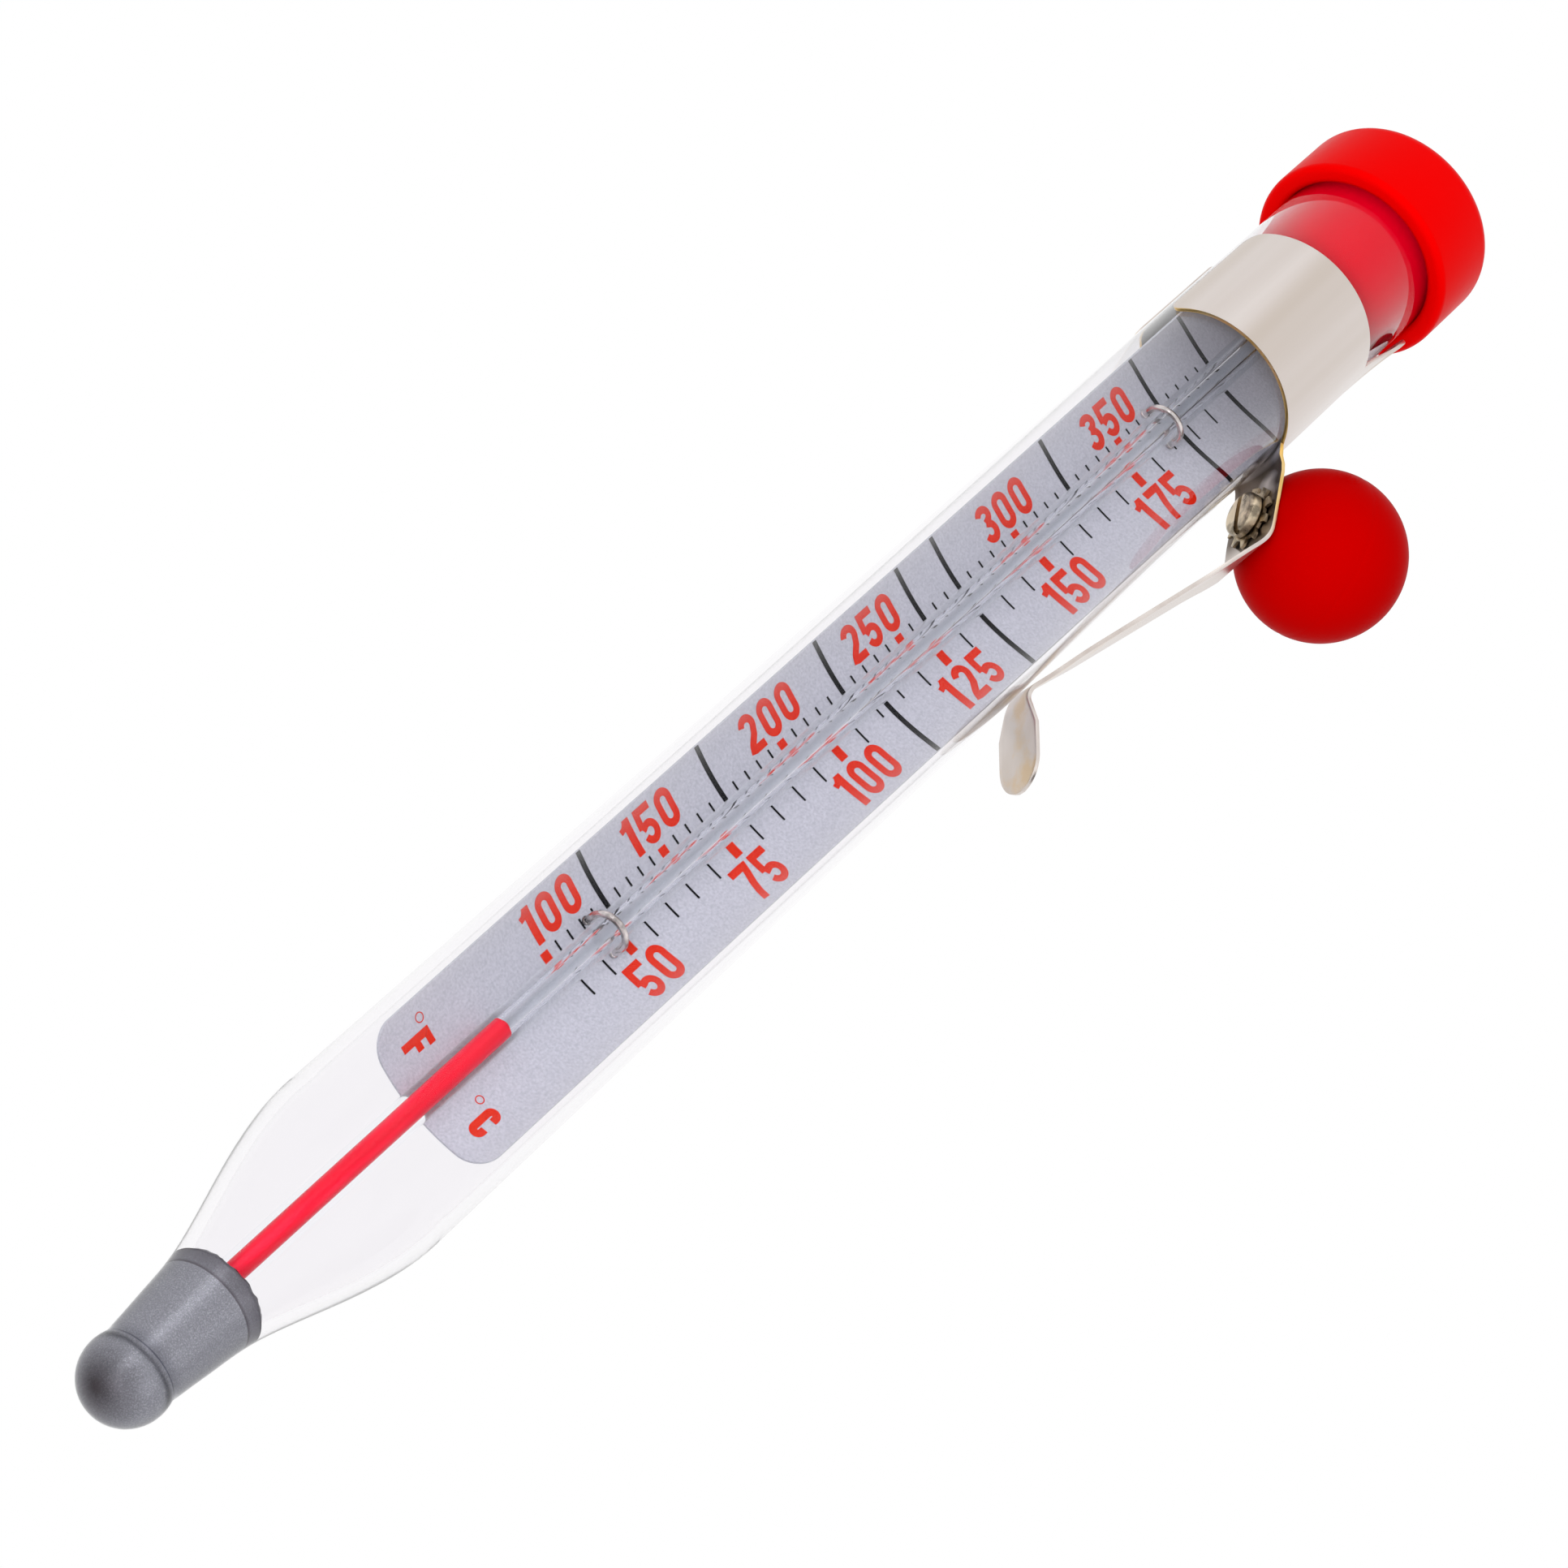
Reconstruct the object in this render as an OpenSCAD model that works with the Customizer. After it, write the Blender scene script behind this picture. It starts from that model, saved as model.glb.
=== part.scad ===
// Glass spirit thermometer with a sliding spring clip.
// The tube's axis is Z, the tip points down and the clip and its knob are on the +X side.
// The origin is on the axis at the underside of the end cap.

/* [Glass tube] */
// Outside diameter of the glass tube
tube_d = 18; // [17.6:0.1:18.4]
// Wall thickness of the glass tube
tube_wall = 1.1; // [0.9:0.1:1.2]
// Distance from the cap's underside to the lowest point of the tip
tip_depth = 192; // [190:1:200]
// Height of the mouth of the tube inside the cap
mouth_z = 7.4; // [6:0.2:7.6]
// Radius of the ball that closes the tip
tip_ball_r = 4; // [3.9:0.1:4.3]
// Outside radius of the neck above the ball
neck_r = 3.75; // [3.6:0.05:3.85]
// Length of the curved shoulder between the neck and the full diameter
shoulder_len = 25; // [20:1:28]

/* [Stem] */
// Diameter of the capillary stem
stem_d = 3; // [2.8:0.1:3.2]
// Radius of the stem's bore
stem_bore_r = 0.6; // [0.4:0.05:0.7]
// Sideways offset of the stem from the tube's axis
stem_x = -0.2; // [-0.4:0.1:0.2]
// Offset of the stem towards the back of the tube
stem_y = 0.4; // [0.2:0.1:0.6]
// Height of the top of the stem
stem_top_z = -16.8; // [-20:0.2:-16.8]
// Height of the top of the spirit column at rest
column_top_z = -140.4; // [-150:0.2:-130]

/* [Scale plate] */
// Outside radius of the curved plate
plate_r = 14.35; // [13.5:0.05:15]
// Thickness of the plate
plate_t = 0.25; // [0.2:0.05:0.3]
// Half of the angle that the plate's arc spans
plate_half_angle = 31.5; // [28:0.5:32]
// Height of the plate's lower end
plate_bottom_z = -151.6; // [-155:0.2:-145]
// Sideways offset of the plate's middle
plate_x = 0.1; // [-0.1:0.05:0.2]
// Radius of the plate's lower corners
plate_corner_r = 2.6; // [1:0.2:4]
// Heights of the two tie wires
tie_z = [-126.2, -36]; // [-140:0.2:-20]
// Diameter of the tie wire
tie_wire_d = 0.45; // [0.3:0.05:0.5]

/* [End cap] */
// Outside diameter of the end cap
cap_d = 22.2; // [21.6:0.2:23]
// Height of the end cap above its underside
cap_h = 10.4; // [10:0.2:12]
// Radius of the cap's upper edge
cap_edge_r = 2; // [1:0.2:2.4]
// Depth of the plug below the cap's underside
plug_depth = 14; // [10:0.5:14]
// Radius of the lower end of the plug
plug_r = 6.9; // [6.5:0.1:7.2]

/* [Clip] */
// Thickness of the spring sheet
sheet_t = 0.4; // [0.3:0.05:0.5]
// Height of the band's lower edge
band_bottom_z = -28.05; // [-30:0.05:-27]
// Width of the band along the tube
band_w = 16.1; // [14:0.1:17]
// Angle from the clip's side to each end of the band
band_half_angle = 162; // [150:1:165]
// Width of the flat strip that carries the knob
strip_w = 7.8; // [7:0.1:8.4]
// Height of the tab's rounded top end
tab_top_z = -2.6; // [-4:0.2:-2.4]
// Outward lean of the panel below the band
panel_angle = 29.6; // [26:0.1:31]
// Length of the flat panel between the band and the bend
panel_len = 9.2; // [9:0.1:9.6]
// Radius of the bend between the panel and the arm
bend_r = 5; // [4.5:0.1:5.5]
// Inward lean of the spring arm
arm_angle = 9; // [8.8:0.1:9.4]
// Height at which the arm bears on the tube
contact_z = -71.7; // [-73:0.1:-70]
// Radius of the bend at the bearing point
contact_r = 3; // [2:0.1:4]
// Outward lean of the tongue
tongue_angle = 43; // [38:1:46]
// Length of the tongue's straight part
tongue_len = 8.4; // [7:0.1:9]
// Width of the arm just below its taper
arm_w = 5.2; // [4.6:0.1:6]
// Width of the arm at the bearing point
neck_w = 3.4; // [3:0.1:4]
// Width of the tongue
tongue_w = 6.2; // [5:0.1:7]

/* [Knob] */
// Diameter of the ball knob
ball_d = 17.5; // [16:0.1:18]
// Distance from the start of the panel to the screw's axis
screw_along = 6.6; // [6.2:0.1:6.8]
// Diameter of the screw's shank
screw_d = 3; // [2.5:0.1:3]
// Diameter of the screw's head
head_d = 4.8; // [4.4:0.1:5]
// Height of the screw's head
head_h = 1.3; // [1.1:0.1:1.4]
// Diameter across the lock washer's teeth
washer_d = 6.8; // [6.2:0.1:7]

/* [Hidden] */
$fn = 96;
eps = 0.02;

tube_r = tube_d / 2;
bore_r = tube_r - tube_wall;
tip_z = -tip_depth;
ball_z = tip_z + tip_ball_r;
neck_z = ball_z + sqrt(pow(tip_ball_r, 2) - pow(neck_r, 2));
join_overlap = 0.3;
trim_over = 0.06;
shoulder_z = ball_z + 3.5;
fit_gap = 0.08;

stem_r = stem_d / 2;
bulb_r = 1.75;
bulb_bottom_z = tip_z + 5;
bulb_top_z = bulb_bottom_z + 9;
bulb_wall = 0.4;
stem_foot_z = bulb_top_z + 1.5;
liquid_gap = 0.03;
filling_top_z = tip_z + 15.5;
meniscus_h = 1.2;

plate_y = stem_y + stem_r + 0.05 + plate_t - plate_r;
plate_top_z = stem_top_z + 0.3;
tie_r = tie_wire_d / 2;
tie_loop_r = stem_r + tie_r + eps;
tie_hole_r = tie_r + 0.1;
tie_back_y = stem_y + stem_r + 1.1;
pad_top_z = -plug_depth - 0.1;
pad_bottom_z = plate_top_z + 0.2;

cap_r = cap_d / 2;
cap_foot_r = 0.4;
cap_bore_r = tube_r + eps;
plug_mouth_r = bore_r - 0.1;
plug_wall = 1.6;

band_r = tube_r + 0.05;
band_top_z = band_bottom_z + band_w;
band_corner_r = 1.8;
strip_x = band_r + sheet_t / 2 + 0.05;
panel_top = [strip_x, band_bottom_z - 0.25];
panel_end = panel_top + panel_len * along(panel_angle);
bend_c = panel_end - bend_r * outward(panel_angle);
bend_end = bend_c + bend_r * outward(-arm_angle);
root_stub = 0.3;
root_gap = 0.2;
contact_c = [band_r + 0.1 + sheet_t / 2 + contact_r, contact_z];
contact_end = contact_c - contact_r * outward(tongue_angle);
tongue_end = contact_end + tongue_len * along(tongue_angle);
tab_lean = 2;
taper_z = bend_end[1] - 7.5;
tongue_foot = tongue_w / 2 * cos(tongue_angle);

ball_r = ball_d / 2;
ball_flat = 8.1;
washer_t = 0.5;
washer_teeth = 10;
insert_r = 2.4;
insert_len = 9;
shank_len = 8;
panel_screw = panel_top + screw_along * along(panel_angle);

// Downward direction in the XZ plane at an angle from the tube's axis, and its outward normal
function along(a) = [sin(a), -cos(a)];
function outward(a) = [cos(a), sin(a)];
function arc(c, r, a0, a1, n) = [for (i = [0:n]) c + r * [cos(a0 + (a1 - a0) * i / n), sin(a0 + (a1 - a0) * i / n)]];
function smooth(t) = t * t * (3 - 2 * t);
// Outside radius of the shoulder at the fraction t of its height, less an inward offset
function shoulder(inset, n) = [for (i = [0:n])
    [neck_r + (tube_r - neck_r) * smooth(i / n) - inset, shoulder_z + shoulder_len * i / n]];
function reversed(v) = [for (i = [len(v) - 1:-1:0]) v[i]];
function unit(v) = v / norm(v);
function side(p, i) = let (d = unit(p[min(i + 1, len(p) - 1)] - p[max(i - 1, 0)])) [d[1], -d[0]];
function offset_path(p, h) = [for (i = [0:len(p) - 1]) p[i] + h * side(p, i)];

// A sheet of constant thickness whose middle line is path, in the XZ plane
module ribbon(path, width) {
    rotate([90, 0, 0])
        linear_extrude(height = width, center = true)
            polygon(concat(offset_path(path, sheet_t / 2), reversed(offset_path(path, -sheet_t / 2))));
}

// Outline in the YZ plane, thick enough along X to cut the whole clip
module plan(points) {
    rotate([90, 0, 90])
        linear_extrude(height = 60, center = true)
            polygon(concat(points, reversed([for (p = points) [-p[0], p[1]]])));
}

// Waste outside a rounded corner whose circle is centred on the origin, in the quadrant of sx and sy
module corner_waste(r, sx, sy) {
    reach = 3 * r;
    polygon(concat([for (p = arc([0, 0], r, 0, 90, 8)) [sx * p[0], sy * p[1]]],
                   [[0, sy * reach], [sx * reach, sy * reach], [sx * reach, 0]]));
}

// Places its children at the screw with +Z along the screw, away from the tube
module at_screw() {
    translate([panel_screw[0], 0, panel_screw[1]])
        rotate([0, 90 - panel_angle, 0])
            children();
}

// Solid of revolution inside the tube's wall at a given inset, from the tip up to a height
module inside(inset, top_z) {
    ball_inner = tip_ball_r - inset;
    neck_inner = neck_r - inset;
    join_z = ball_z + sqrt(max(0, pow(ball_inner, 2) - pow(neck_inner, 2)));
    rotate_extrude() {
        intersection() {
            translate([0, ball_z - ball_inner])
                square([neck_inner, ball_inner + join_z - ball_z + join_overlap]);
            translate([0, ball_z])
                circle(r = ball_inner);
        }
        intersection() {
            polygon(concat([[0, join_z], [neck_inner, join_z]], shoulder(inset, 24),
                           [[tube_r - inset, mouth_z], [0, mouth_z]]));
            translate([0, tip_z])
                square([tube_r, top_z - tip_z]);
        }
    }
}

module glass_tube() {
    color([0.92, 0.95, 0.96, 0.35])
        difference() {
            rotate_extrude() {
                intersection() {
                    translate([0, ball_z])
                        circle(r = tip_ball_r);
                    translate([0, tip_z])
                        square([tip_ball_r, neck_z - tip_z + join_overlap]);
                }
                polygon(concat([[0, neck_z], [neck_r, neck_z]], shoulder(0, 24),
                               [[tube_r, mouth_z], [0, mouth_z]]));
            }
            inside(tube_wall, mouth_z + 1);
        }
}

// Moulded cap with a skirt over the glass and a tapered hollow plug inside it
module end_cap() {
    color([0.9, 0.02, 0.02])
        rotate_extrude()
            difference() {
                union() {
                    square([cap_r - cap_edge_r, cap_h]);
                    translate([0, cap_foot_r])
                        square([cap_r, cap_h - cap_edge_r - cap_foot_r]);
                    square([cap_r - cap_foot_r, cap_foot_r]);
                    translate([cap_r - cap_foot_r, cap_foot_r])
                        circle(r = cap_foot_r, $fn = 24);
                    translate([cap_r - cap_edge_r, cap_h - cap_edge_r])
                        circle(r = cap_edge_r);
                    polygon([[0, -plug_depth], [plug_r, -plug_depth], [plug_mouth_r, 0], [0, 0]]);
                }
                translate([plug_mouth_r, -eps])
                    square([cap_bore_r - plug_mouth_r, mouth_z + 2 * eps]);
                translate([0, -plug_depth - eps])
                    square([plug_r - plug_wall, plug_depth + cap_h - 3]);
            }
}

module top_pad() {
    color([0.72, 0.6, 0.45])
        translate([0, 0, pad_bottom_z])
            cylinder(r = plug_r, h = pad_top_z - pad_bottom_z);
}

module tip_filling() {
    color([0.5, 0.5, 0.5])
        difference() {
            inside(tube_wall + fit_gap, filling_top_z);
            translate([stem_x, stem_y, 0])
                stem_outline(eps);
        }
}

// Revolved outline of the stem, its foot and its bulb, grown by g
module stem_outline(g) {
    rotate_extrude() {
        polygon([[0, bulb_bottom_z + bulb_r], [bulb_r + g, bulb_bottom_z + bulb_r], [bulb_r + g, bulb_top_z],
                 [stem_r + g, stem_foot_z], [stem_r + g, stem_top_z - stem_r], [0, stem_top_z - stem_r]]);
        round_end(bulb_r + g, bulb_bottom_z + bulb_r, -1);
        round_end(stem_r + g, stem_top_z - stem_r, 1);
    }
}

// Half of a round end in a revolved outline: below z if dir is -1, above it if 1
module round_end(r, z, dir) {
    translate([0, z])
        intersection() {
            circle(r = r);
            translate([0, dir > 0 ? 0 : -r])
                square([r, r]);
        }
}

module capillary_stem() {
    color([0.9, 0.93, 0.95, 0.35])
        translate([stem_x, stem_y, 0])
            difference() {
                stem_outline(0);
                rotate_extrude() {
                    round_end(bulb_r - bulb_wall, bulb_bottom_z + bulb_r, -1);
                    translate([0, bulb_bottom_z + bulb_r])
                        square([bulb_r - bulb_wall, bulb_top_z - bulb_bottom_z - bulb_r]);
                    square_to(stem_bore_r, bulb_top_z - 1, stem_top_z - stem_r);
                    round_end(stem_bore_r, stem_top_z - stem_r, 1);
                }
            }
}

// Rectangle in a revolved outline from the axis out to r, between two heights
module square_to(r, z0, z1) {
    translate([0, z0])
        square([r, z1 - z0]);
}

module spirit_reservoir() {
    color([0.85, 0.03, 0.08])
        translate([stem_x, stem_y, 0])
            rotate_extrude() {
                round_end(bulb_r - bulb_wall - liquid_gap, bulb_bottom_z + bulb_r, -1);
                square_to(bulb_r - bulb_wall - liquid_gap, bulb_bottom_z + bulb_r, bulb_top_z - liquid_gap);
            }
}

module spirit_column() {
    color([0.95, 0.08, 0.15])
        translate([stem_x, stem_y, bulb_top_z])
            cylinder(r = stem_bore_r - liquid_gap, h = column_top_z - meniscus_h - bulb_top_z);
}

module spirit_meniscus() {
    dome_z = column_top_z - stem_bore_r;
    color([0.95, 0.08, 0.15])
        translate([stem_x, stem_y, 0])
            rotate_extrude() {
                square_to(stem_bore_r - liquid_gap, column_top_z - meniscus_h, dome_z);
                round_end(stem_bore_r - liquid_gap, dome_z, 1);
            }
}

// Curved plate with rounded lower corners and a pair of holes for each tie
module scale_plate() {
    half_w = plate_r * sin(plate_half_angle);
    color([0.76, 0.78, 0.82])
        difference() {
            translate([plate_x, plate_y, plate_bottom_z])
                rotate([0, 0, 90 - plate_half_angle])
                    rotate_extrude(angle = 2 * plate_half_angle)
                        translate([plate_r - plate_t, 0])
                            square([plate_t, plate_top_z - plate_bottom_z]);
            for (s = [-1, 1])
                translate([plate_x + s * (half_w - plate_corner_r + trim_over), 0,
                           plate_bottom_z + plate_corner_r - trim_over])
                    rotate([90, 0, 0])
                        linear_extrude(height = 4 * tube_r, center = true)
                            corner_waste(plate_corner_r, s, -1);
            for (z = tie_z, s = [-1, 1])
                translate([stem_x + s * tie_loop_r, 0, z])
                    rotate([-90, 0, 0])
                        cylinder(r = tie_hole_r, h = tube_r, $fn = 24);
        }
}

// Wire loop over the stem with two legs through the plate
module tie_wire(z) {
    color([0.8, 0.8, 0.8])
        translate([stem_x, stem_y, z]) {
            rotate([0, 0, 180])
                rotate_extrude(angle = 180)
                    translate([tie_loop_r, 0])
                        circle(r = tie_r, $fn = 24);
            for (s = [-1, 1])
                translate([s * tie_loop_r, 0, 0])
                    rotate([-90, 0, 0])
                        cylinder(r = tie_r, h = tie_back_y - stem_y, $fn = 24);
        }
}

module tie_wire_lower() {
    tie_wire(tie_z[0]);
}

module tie_wire_upper() {
    tie_wire(tie_z[1]);
}

// Open band round the tube, the flat strip with its tab, and the panel down to just past the bend
module clip_band() {
    tab_path = [[strip_x, band_bottom_z - 0.25], [strip_x, band_top_z],
                [strip_x, band_top_z] - (tab_top_z - band_top_z) * along(-tab_lean)];
    panel_path = concat([panel_top - 0.2 * along(panel_angle), panel_end],
                        arc(bend_c, bend_r, panel_angle - 4, -arm_angle, 10),
                        [bend_end + root_stub * along(-arm_angle)]);
    color([0.8, 0.78, 0.75])
        difference() {
            union() {
                difference() {
                    translate([0, 0, band_bottom_z])
                        rotate([0, 0, -band_half_angle])
                            rotate_extrude(angle = 2 * band_half_angle)
                                translate([band_r, 0])
                                    square([sheet_t, band_w]);
                    for (s = [-1, 1], e = [0, 1])
                        band_corner(s, e);
                }
                intersection() {
                    ribbon(tab_path, strip_w + 1);
                    plan(concat([[strip_w / 2, band_bottom_z - 2]],
                                arc([0, tab_top_z - strip_w / 2], strip_w / 2, 0, 84, 12)));
                }
                ribbon(panel_path, strip_w);
            }
            at_screw()
                cylinder(r = screw_d / 2 + 0.05, h = 6, center = true);
        }
}

// Waste outside a rounded corner at one end of the band; e is 0 at the lower edge and 1 at the upper
module band_corner(s, e) {
    corner_in = band_corner_r - trim_over;
    corner_y = s * (band_r * sin(band_half_angle) + corner_in);
    corner_z = e > 0 ? band_top_z - corner_in : band_bottom_z + corner_in;
    translate([-band_r, corner_y, corner_z])
        rotate([90, 0, 90])
            linear_extrude(height = 6, center = true)
                corner_waste(band_corner_r, -s, e > 0 ? 1 : -1);
}

// Spring arm and tongue, tapered to the bearing point
module clip_arm() {
    arm_top = bend_end + (root_stub + root_gap) * along(-arm_angle);
    arm_path = concat([arm_top], arc(contact_c, contact_r, 180 - arm_angle, 180 + tongue_angle, 10), [tongue_end]);
    foot_z = tongue_end[1] + tongue_foot;
    color([0.8, 0.78, 0.75])
        intersection() {
            ribbon(arm_path, strip_w);
            plan(concat([[strip_w / 2, arm_top[1] + 1], [strip_w / 2, arm_top[1] - 0.5], [arm_w / 2, taper_z],
                         [neck_w / 2, contact_z + 1], [neck_w / 2, contact_z - 1],
                         [tongue_w / 2, contact_z - 3.6]],
                        [for (a = [0:10:90]) [tongue_w / 2 * cos(a), foot_z - tongue_foot * sin(a)]]));
        }
}

module lock_washer() {
    root_r = washer_d / 2 - 0.8;
    color([0.75, 0.74, 0.7])
        at_screw()
            translate([0, 0, -sheet_t / 2 - washer_t - eps])
                difference() {
                    union() {
                        cylinder(r = root_r, h = washer_t);
                        for (i = [0:washer_teeth - 1])
                            rotate([0, 0, i * 360 / washer_teeth])
                                translate([root_r - 0.2, -0.4, 0])
                                    cube([1, 0.8, washer_t]);
                    }
                    translate([0, 0, -1])
                        cylinder(r = screw_d / 2 + 0.1, h = washer_t + 2);
                }
}

// Slotted pan-head screw: its head is on the tube's side and its shank runs into the knob
module knob_screw() {
    seat_z = -sheet_t / 2 - washer_t - 2 * eps;
    color([0.78, 0.76, 0.72])
        at_screw()
            difference() {
                union() {
                    translate([0, 0, seat_z - head_h])
                        cylinder(r = head_d / 2, h = head_h);
                    translate([0, 0, seat_z - 0.1])
                        cylinder(r = screw_d / 2, h = shank_len - seat_z);
                }
                translate([-head_d, -0.35, seat_z - head_h - 1])
                    cube([2 * head_d, 0.7, 1 + head_h / 2]);
            }
}

module knob_insert() {
    color([0.75, 0.6, 0.3])
        at_screw()
            translate([0, 0, sheet_t / 2 + eps])
                difference() {
                    cylinder(r = insert_r, h = insert_len);
                    translate([0, 0, -1])
                        cylinder(r = screw_d / 2 + 0.03, h = insert_len);
                }
}

module knob_ball() {
    color([0.8, 0.01, 0.01])
        at_screw()
            translate([0, 0, sheet_t / 2 + eps])
                difference() {
                    translate([0, 0, ball_flat])
                        sphere(r = ball_r);
                    translate([-ball_r, -ball_r, -2 * ball_r])
                        cube(2 * ball_r);
                    translate([0, 0, -1])
                        cylinder(r = insert_r + eps, h = insert_len + 1 + eps);
                }
}

glass_tube();
end_cap();
top_pad();
tip_filling();
capillary_stem();
spirit_reservoir();
spirit_column();
spirit_meniscus();
scale_plate();
tie_wire_lower();
tie_wire_upper();
clip_band();
clip_arm();
lock_washer();
knob_screw();
knob_insert();
knob_ball();
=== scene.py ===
"""Looks of a glass spirit thermometer with a sliding spring clip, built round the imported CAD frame."""
import math

import bmesh
import bpy
from mathutils import Matrix, Vector, noise


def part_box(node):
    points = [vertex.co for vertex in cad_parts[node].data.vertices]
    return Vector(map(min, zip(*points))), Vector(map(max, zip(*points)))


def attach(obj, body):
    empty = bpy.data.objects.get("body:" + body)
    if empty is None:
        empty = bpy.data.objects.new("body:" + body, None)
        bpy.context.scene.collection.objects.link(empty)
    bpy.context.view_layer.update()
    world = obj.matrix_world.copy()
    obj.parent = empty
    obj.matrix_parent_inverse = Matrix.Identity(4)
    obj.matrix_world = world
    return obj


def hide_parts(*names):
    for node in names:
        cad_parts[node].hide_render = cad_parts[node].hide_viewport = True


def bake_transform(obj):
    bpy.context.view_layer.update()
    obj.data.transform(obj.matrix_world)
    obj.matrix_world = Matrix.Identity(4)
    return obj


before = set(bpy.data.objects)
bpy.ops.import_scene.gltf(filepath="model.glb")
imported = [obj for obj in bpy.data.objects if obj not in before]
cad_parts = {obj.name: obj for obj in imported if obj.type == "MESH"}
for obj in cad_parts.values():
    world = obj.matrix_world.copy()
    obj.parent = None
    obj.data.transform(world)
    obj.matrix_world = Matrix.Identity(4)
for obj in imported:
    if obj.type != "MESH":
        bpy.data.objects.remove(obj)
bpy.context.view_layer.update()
MM = 0.001

# Tube, in mm from the cap's underside; heights are Z
TUBE_R = 9.0
TUBE_WALL = 1.1
TIP_BALL_R = 4.0
NECK_FLARE = 0.09
NECK_R = 3.75
SHOULDER_LEN = 25.0
SHOULDER_ABOVE_BALL = 3.5
RIM_R = 0.5
# Stem and liquid
BORE_R = 0.57
COLUMN_R = 0.6
STEM_SHIFT = -0.2
BORE_START = 1.0
DOME_RINGS = 8
# Scale plate
PLATE_INNER_R = 14.1
PLATE_T = 0.25
PLATE_TAPER = 0.055
PLATE_CORNER_R = 2.6
INK_LIFT = 0.03
# Print: pen width, figure sizes, line widths, and how far left-hand marks and numbers drift in up the scale
PEN = 0.74
FIGURE_W = 2.2
FIGURE_PITCH = 2.75
LONG_LINE = 0.58
TICK = 0.23
SQUARE = 1.0
MARK_DRIFT = 0.44
NUMBER_DRIFT = 0.86
NUMBER_SHIFT = {100: 2.55, 200: 0.25, 250: -2.4, 300: 0.4, 350: 0.4}
# Heights of the 50 degree Fahrenheit marks; the last one is not printed
SCALE = [(100, -131.8), (150, -115.2), (200, -97.5), (250, -79.05), (300, -59.8), (350, -41.7), (400, -23.7)]
# Clip
SHEET_T = 0.4
BAND_MID_R = 9.25
STRIP_MID_X = 9.3
BAND_HALF_ANGLE = math.radians(162)
BAND_CORNER_R = 1.8
BAND_LOW_Z = -28.05
BAND_HIGH_Z = -11.95
BAND_DENT = 0.05
STRIP_HALF_W = 3.9
TAB_TOP_Z = -2.6
TAB_LEAN = math.radians(2)
PANEL_ANGLE = math.radians(29.6)
PANEL_LEN = 9.2
PANEL_DROP = 0.25
BEND_R = 5.0
ARM_ANGLE = math.radians(9)
CONTACT_Z = -71.7
CONTACT_R = 3.0
CONTACT_GAP = 0.15
TONGUE_ANGLE = math.radians(43)
TONGUE_LEN = 8.4
ARM_ROLL = math.radians(6)
SCREW_ALONG = 6.6
BALL_R = 8.75
BALL_FLAT = 8.1
# Painted dark reflection on the tip, placed from the middle of its ball
REFLECTION_SPOT_AT = (-1.18, -0.86, -2.98)
REFLECTION_SPOT_CORE, REFLECTION_SPOT_EDGE = 0.7, 2.9
# View: place in mm, direction, upward direction and lens angle
CAMERA_AT = (-27.523, -314.591, -347.556)
CAMERA_FORWARD = (0.0697, 0.7849, 0.6157)
CAMERA_UP = (-0.7720, -0.3484, 0.5316)
CAMERA_ANGLE = math.radians(19.879)


def box_mm(node):
    """Lowest and highest corner of a CAD node, in mm."""
    return [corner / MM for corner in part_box(node)]


def along(a):
    """Direction down the strip, leaning outwards by an angle."""
    return Vector((math.sin(a), -math.cos(a)))


def outward(a):
    return Vector((math.cos(a), math.sin(a)))


# ---- places worked out from the values above and the CAD boxes

TIP_Z, MOUTH_Z = (corner.z for corner in box_mm("glass_tube"))
BALL_Z = TIP_Z + TIP_BALL_R
SHOULDER_Z = BALL_Z + SHOULDER_ABOVE_BALL
FILLING_TOP = box_mm("tip_filling")[1].z
PLATE_LOW, PLATE_HIGH = box_mm("scale_plate")
PLATE_X = (PLATE_LOW.x + PLATE_HIGH.x) / 2
PLATE_Y = PLATE_HIGH.y - PLATE_T - PLATE_INNER_R
PLATE_HALF = (PLATE_HIGH.x - PLATE_LOW.x) / 2
# Corners and centres of the strip's middle line, as (X, Z)
PANEL_TOP = Vector((STRIP_MID_X, BAND_LOW_Z - PANEL_DROP))
PANEL_END = PANEL_TOP + PANEL_LEN * along(PANEL_ANGLE)
BEND_C = PANEL_END - BEND_R * outward(PANEL_ANGLE)
BEND_END = BEND_C + BEND_R * outward(-ARM_ANGLE)
CONTACT_C = Vector((TUBE_R + CONTACT_GAP + SHEET_T / 2 + CONTACT_R, CONTACT_Z))
CONTACT_START = CONTACT_C - CONTACT_R * outward(-ARM_ANGLE)
CONTACT_END = CONTACT_C - CONTACT_R * outward(TONGUE_ANGLE)
TONGUE_END = CONTACT_END + TONGUE_LEN * along(TONGUE_ANGLE)
SCREW_AT = PANEL_TOP + SCREW_ALONG * along(PANEL_ANGLE)
SCREW_FRAME = (Matrix.Translation(Vector((SCREW_AT.x, 0, SCREW_AT.y)) * MM)
               @ Matrix.Rotation(math.pi / 2 - PANEL_ANGLE, 4, "Y"))


# ---- meshes

def smoothstep(t):
    t = min(max(t, 0.0), 1.0)
    return t * t * (3 - 2 * t)


def add_object(name, data):
    obj = bpy.data.objects.new(name, data)
    bpy.context.scene.collection.objects.link(obj)
    return obj


def shade(obj, smooth=True):
    obj.data.polygons.foreach_set("use_smooth", [smooth] * len(obj.data.polygons))
    return obj


def mesh_object(name, verts, faces, smooth=True):
    """Object from vertices in mm."""
    mesh = bpy.data.meshes.new(name)
    mesh.from_pydata([Vector(v) * MM for v in verts], [], faces)
    mesh.update()
    return shade(add_object(name, mesh), smooth)


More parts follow.
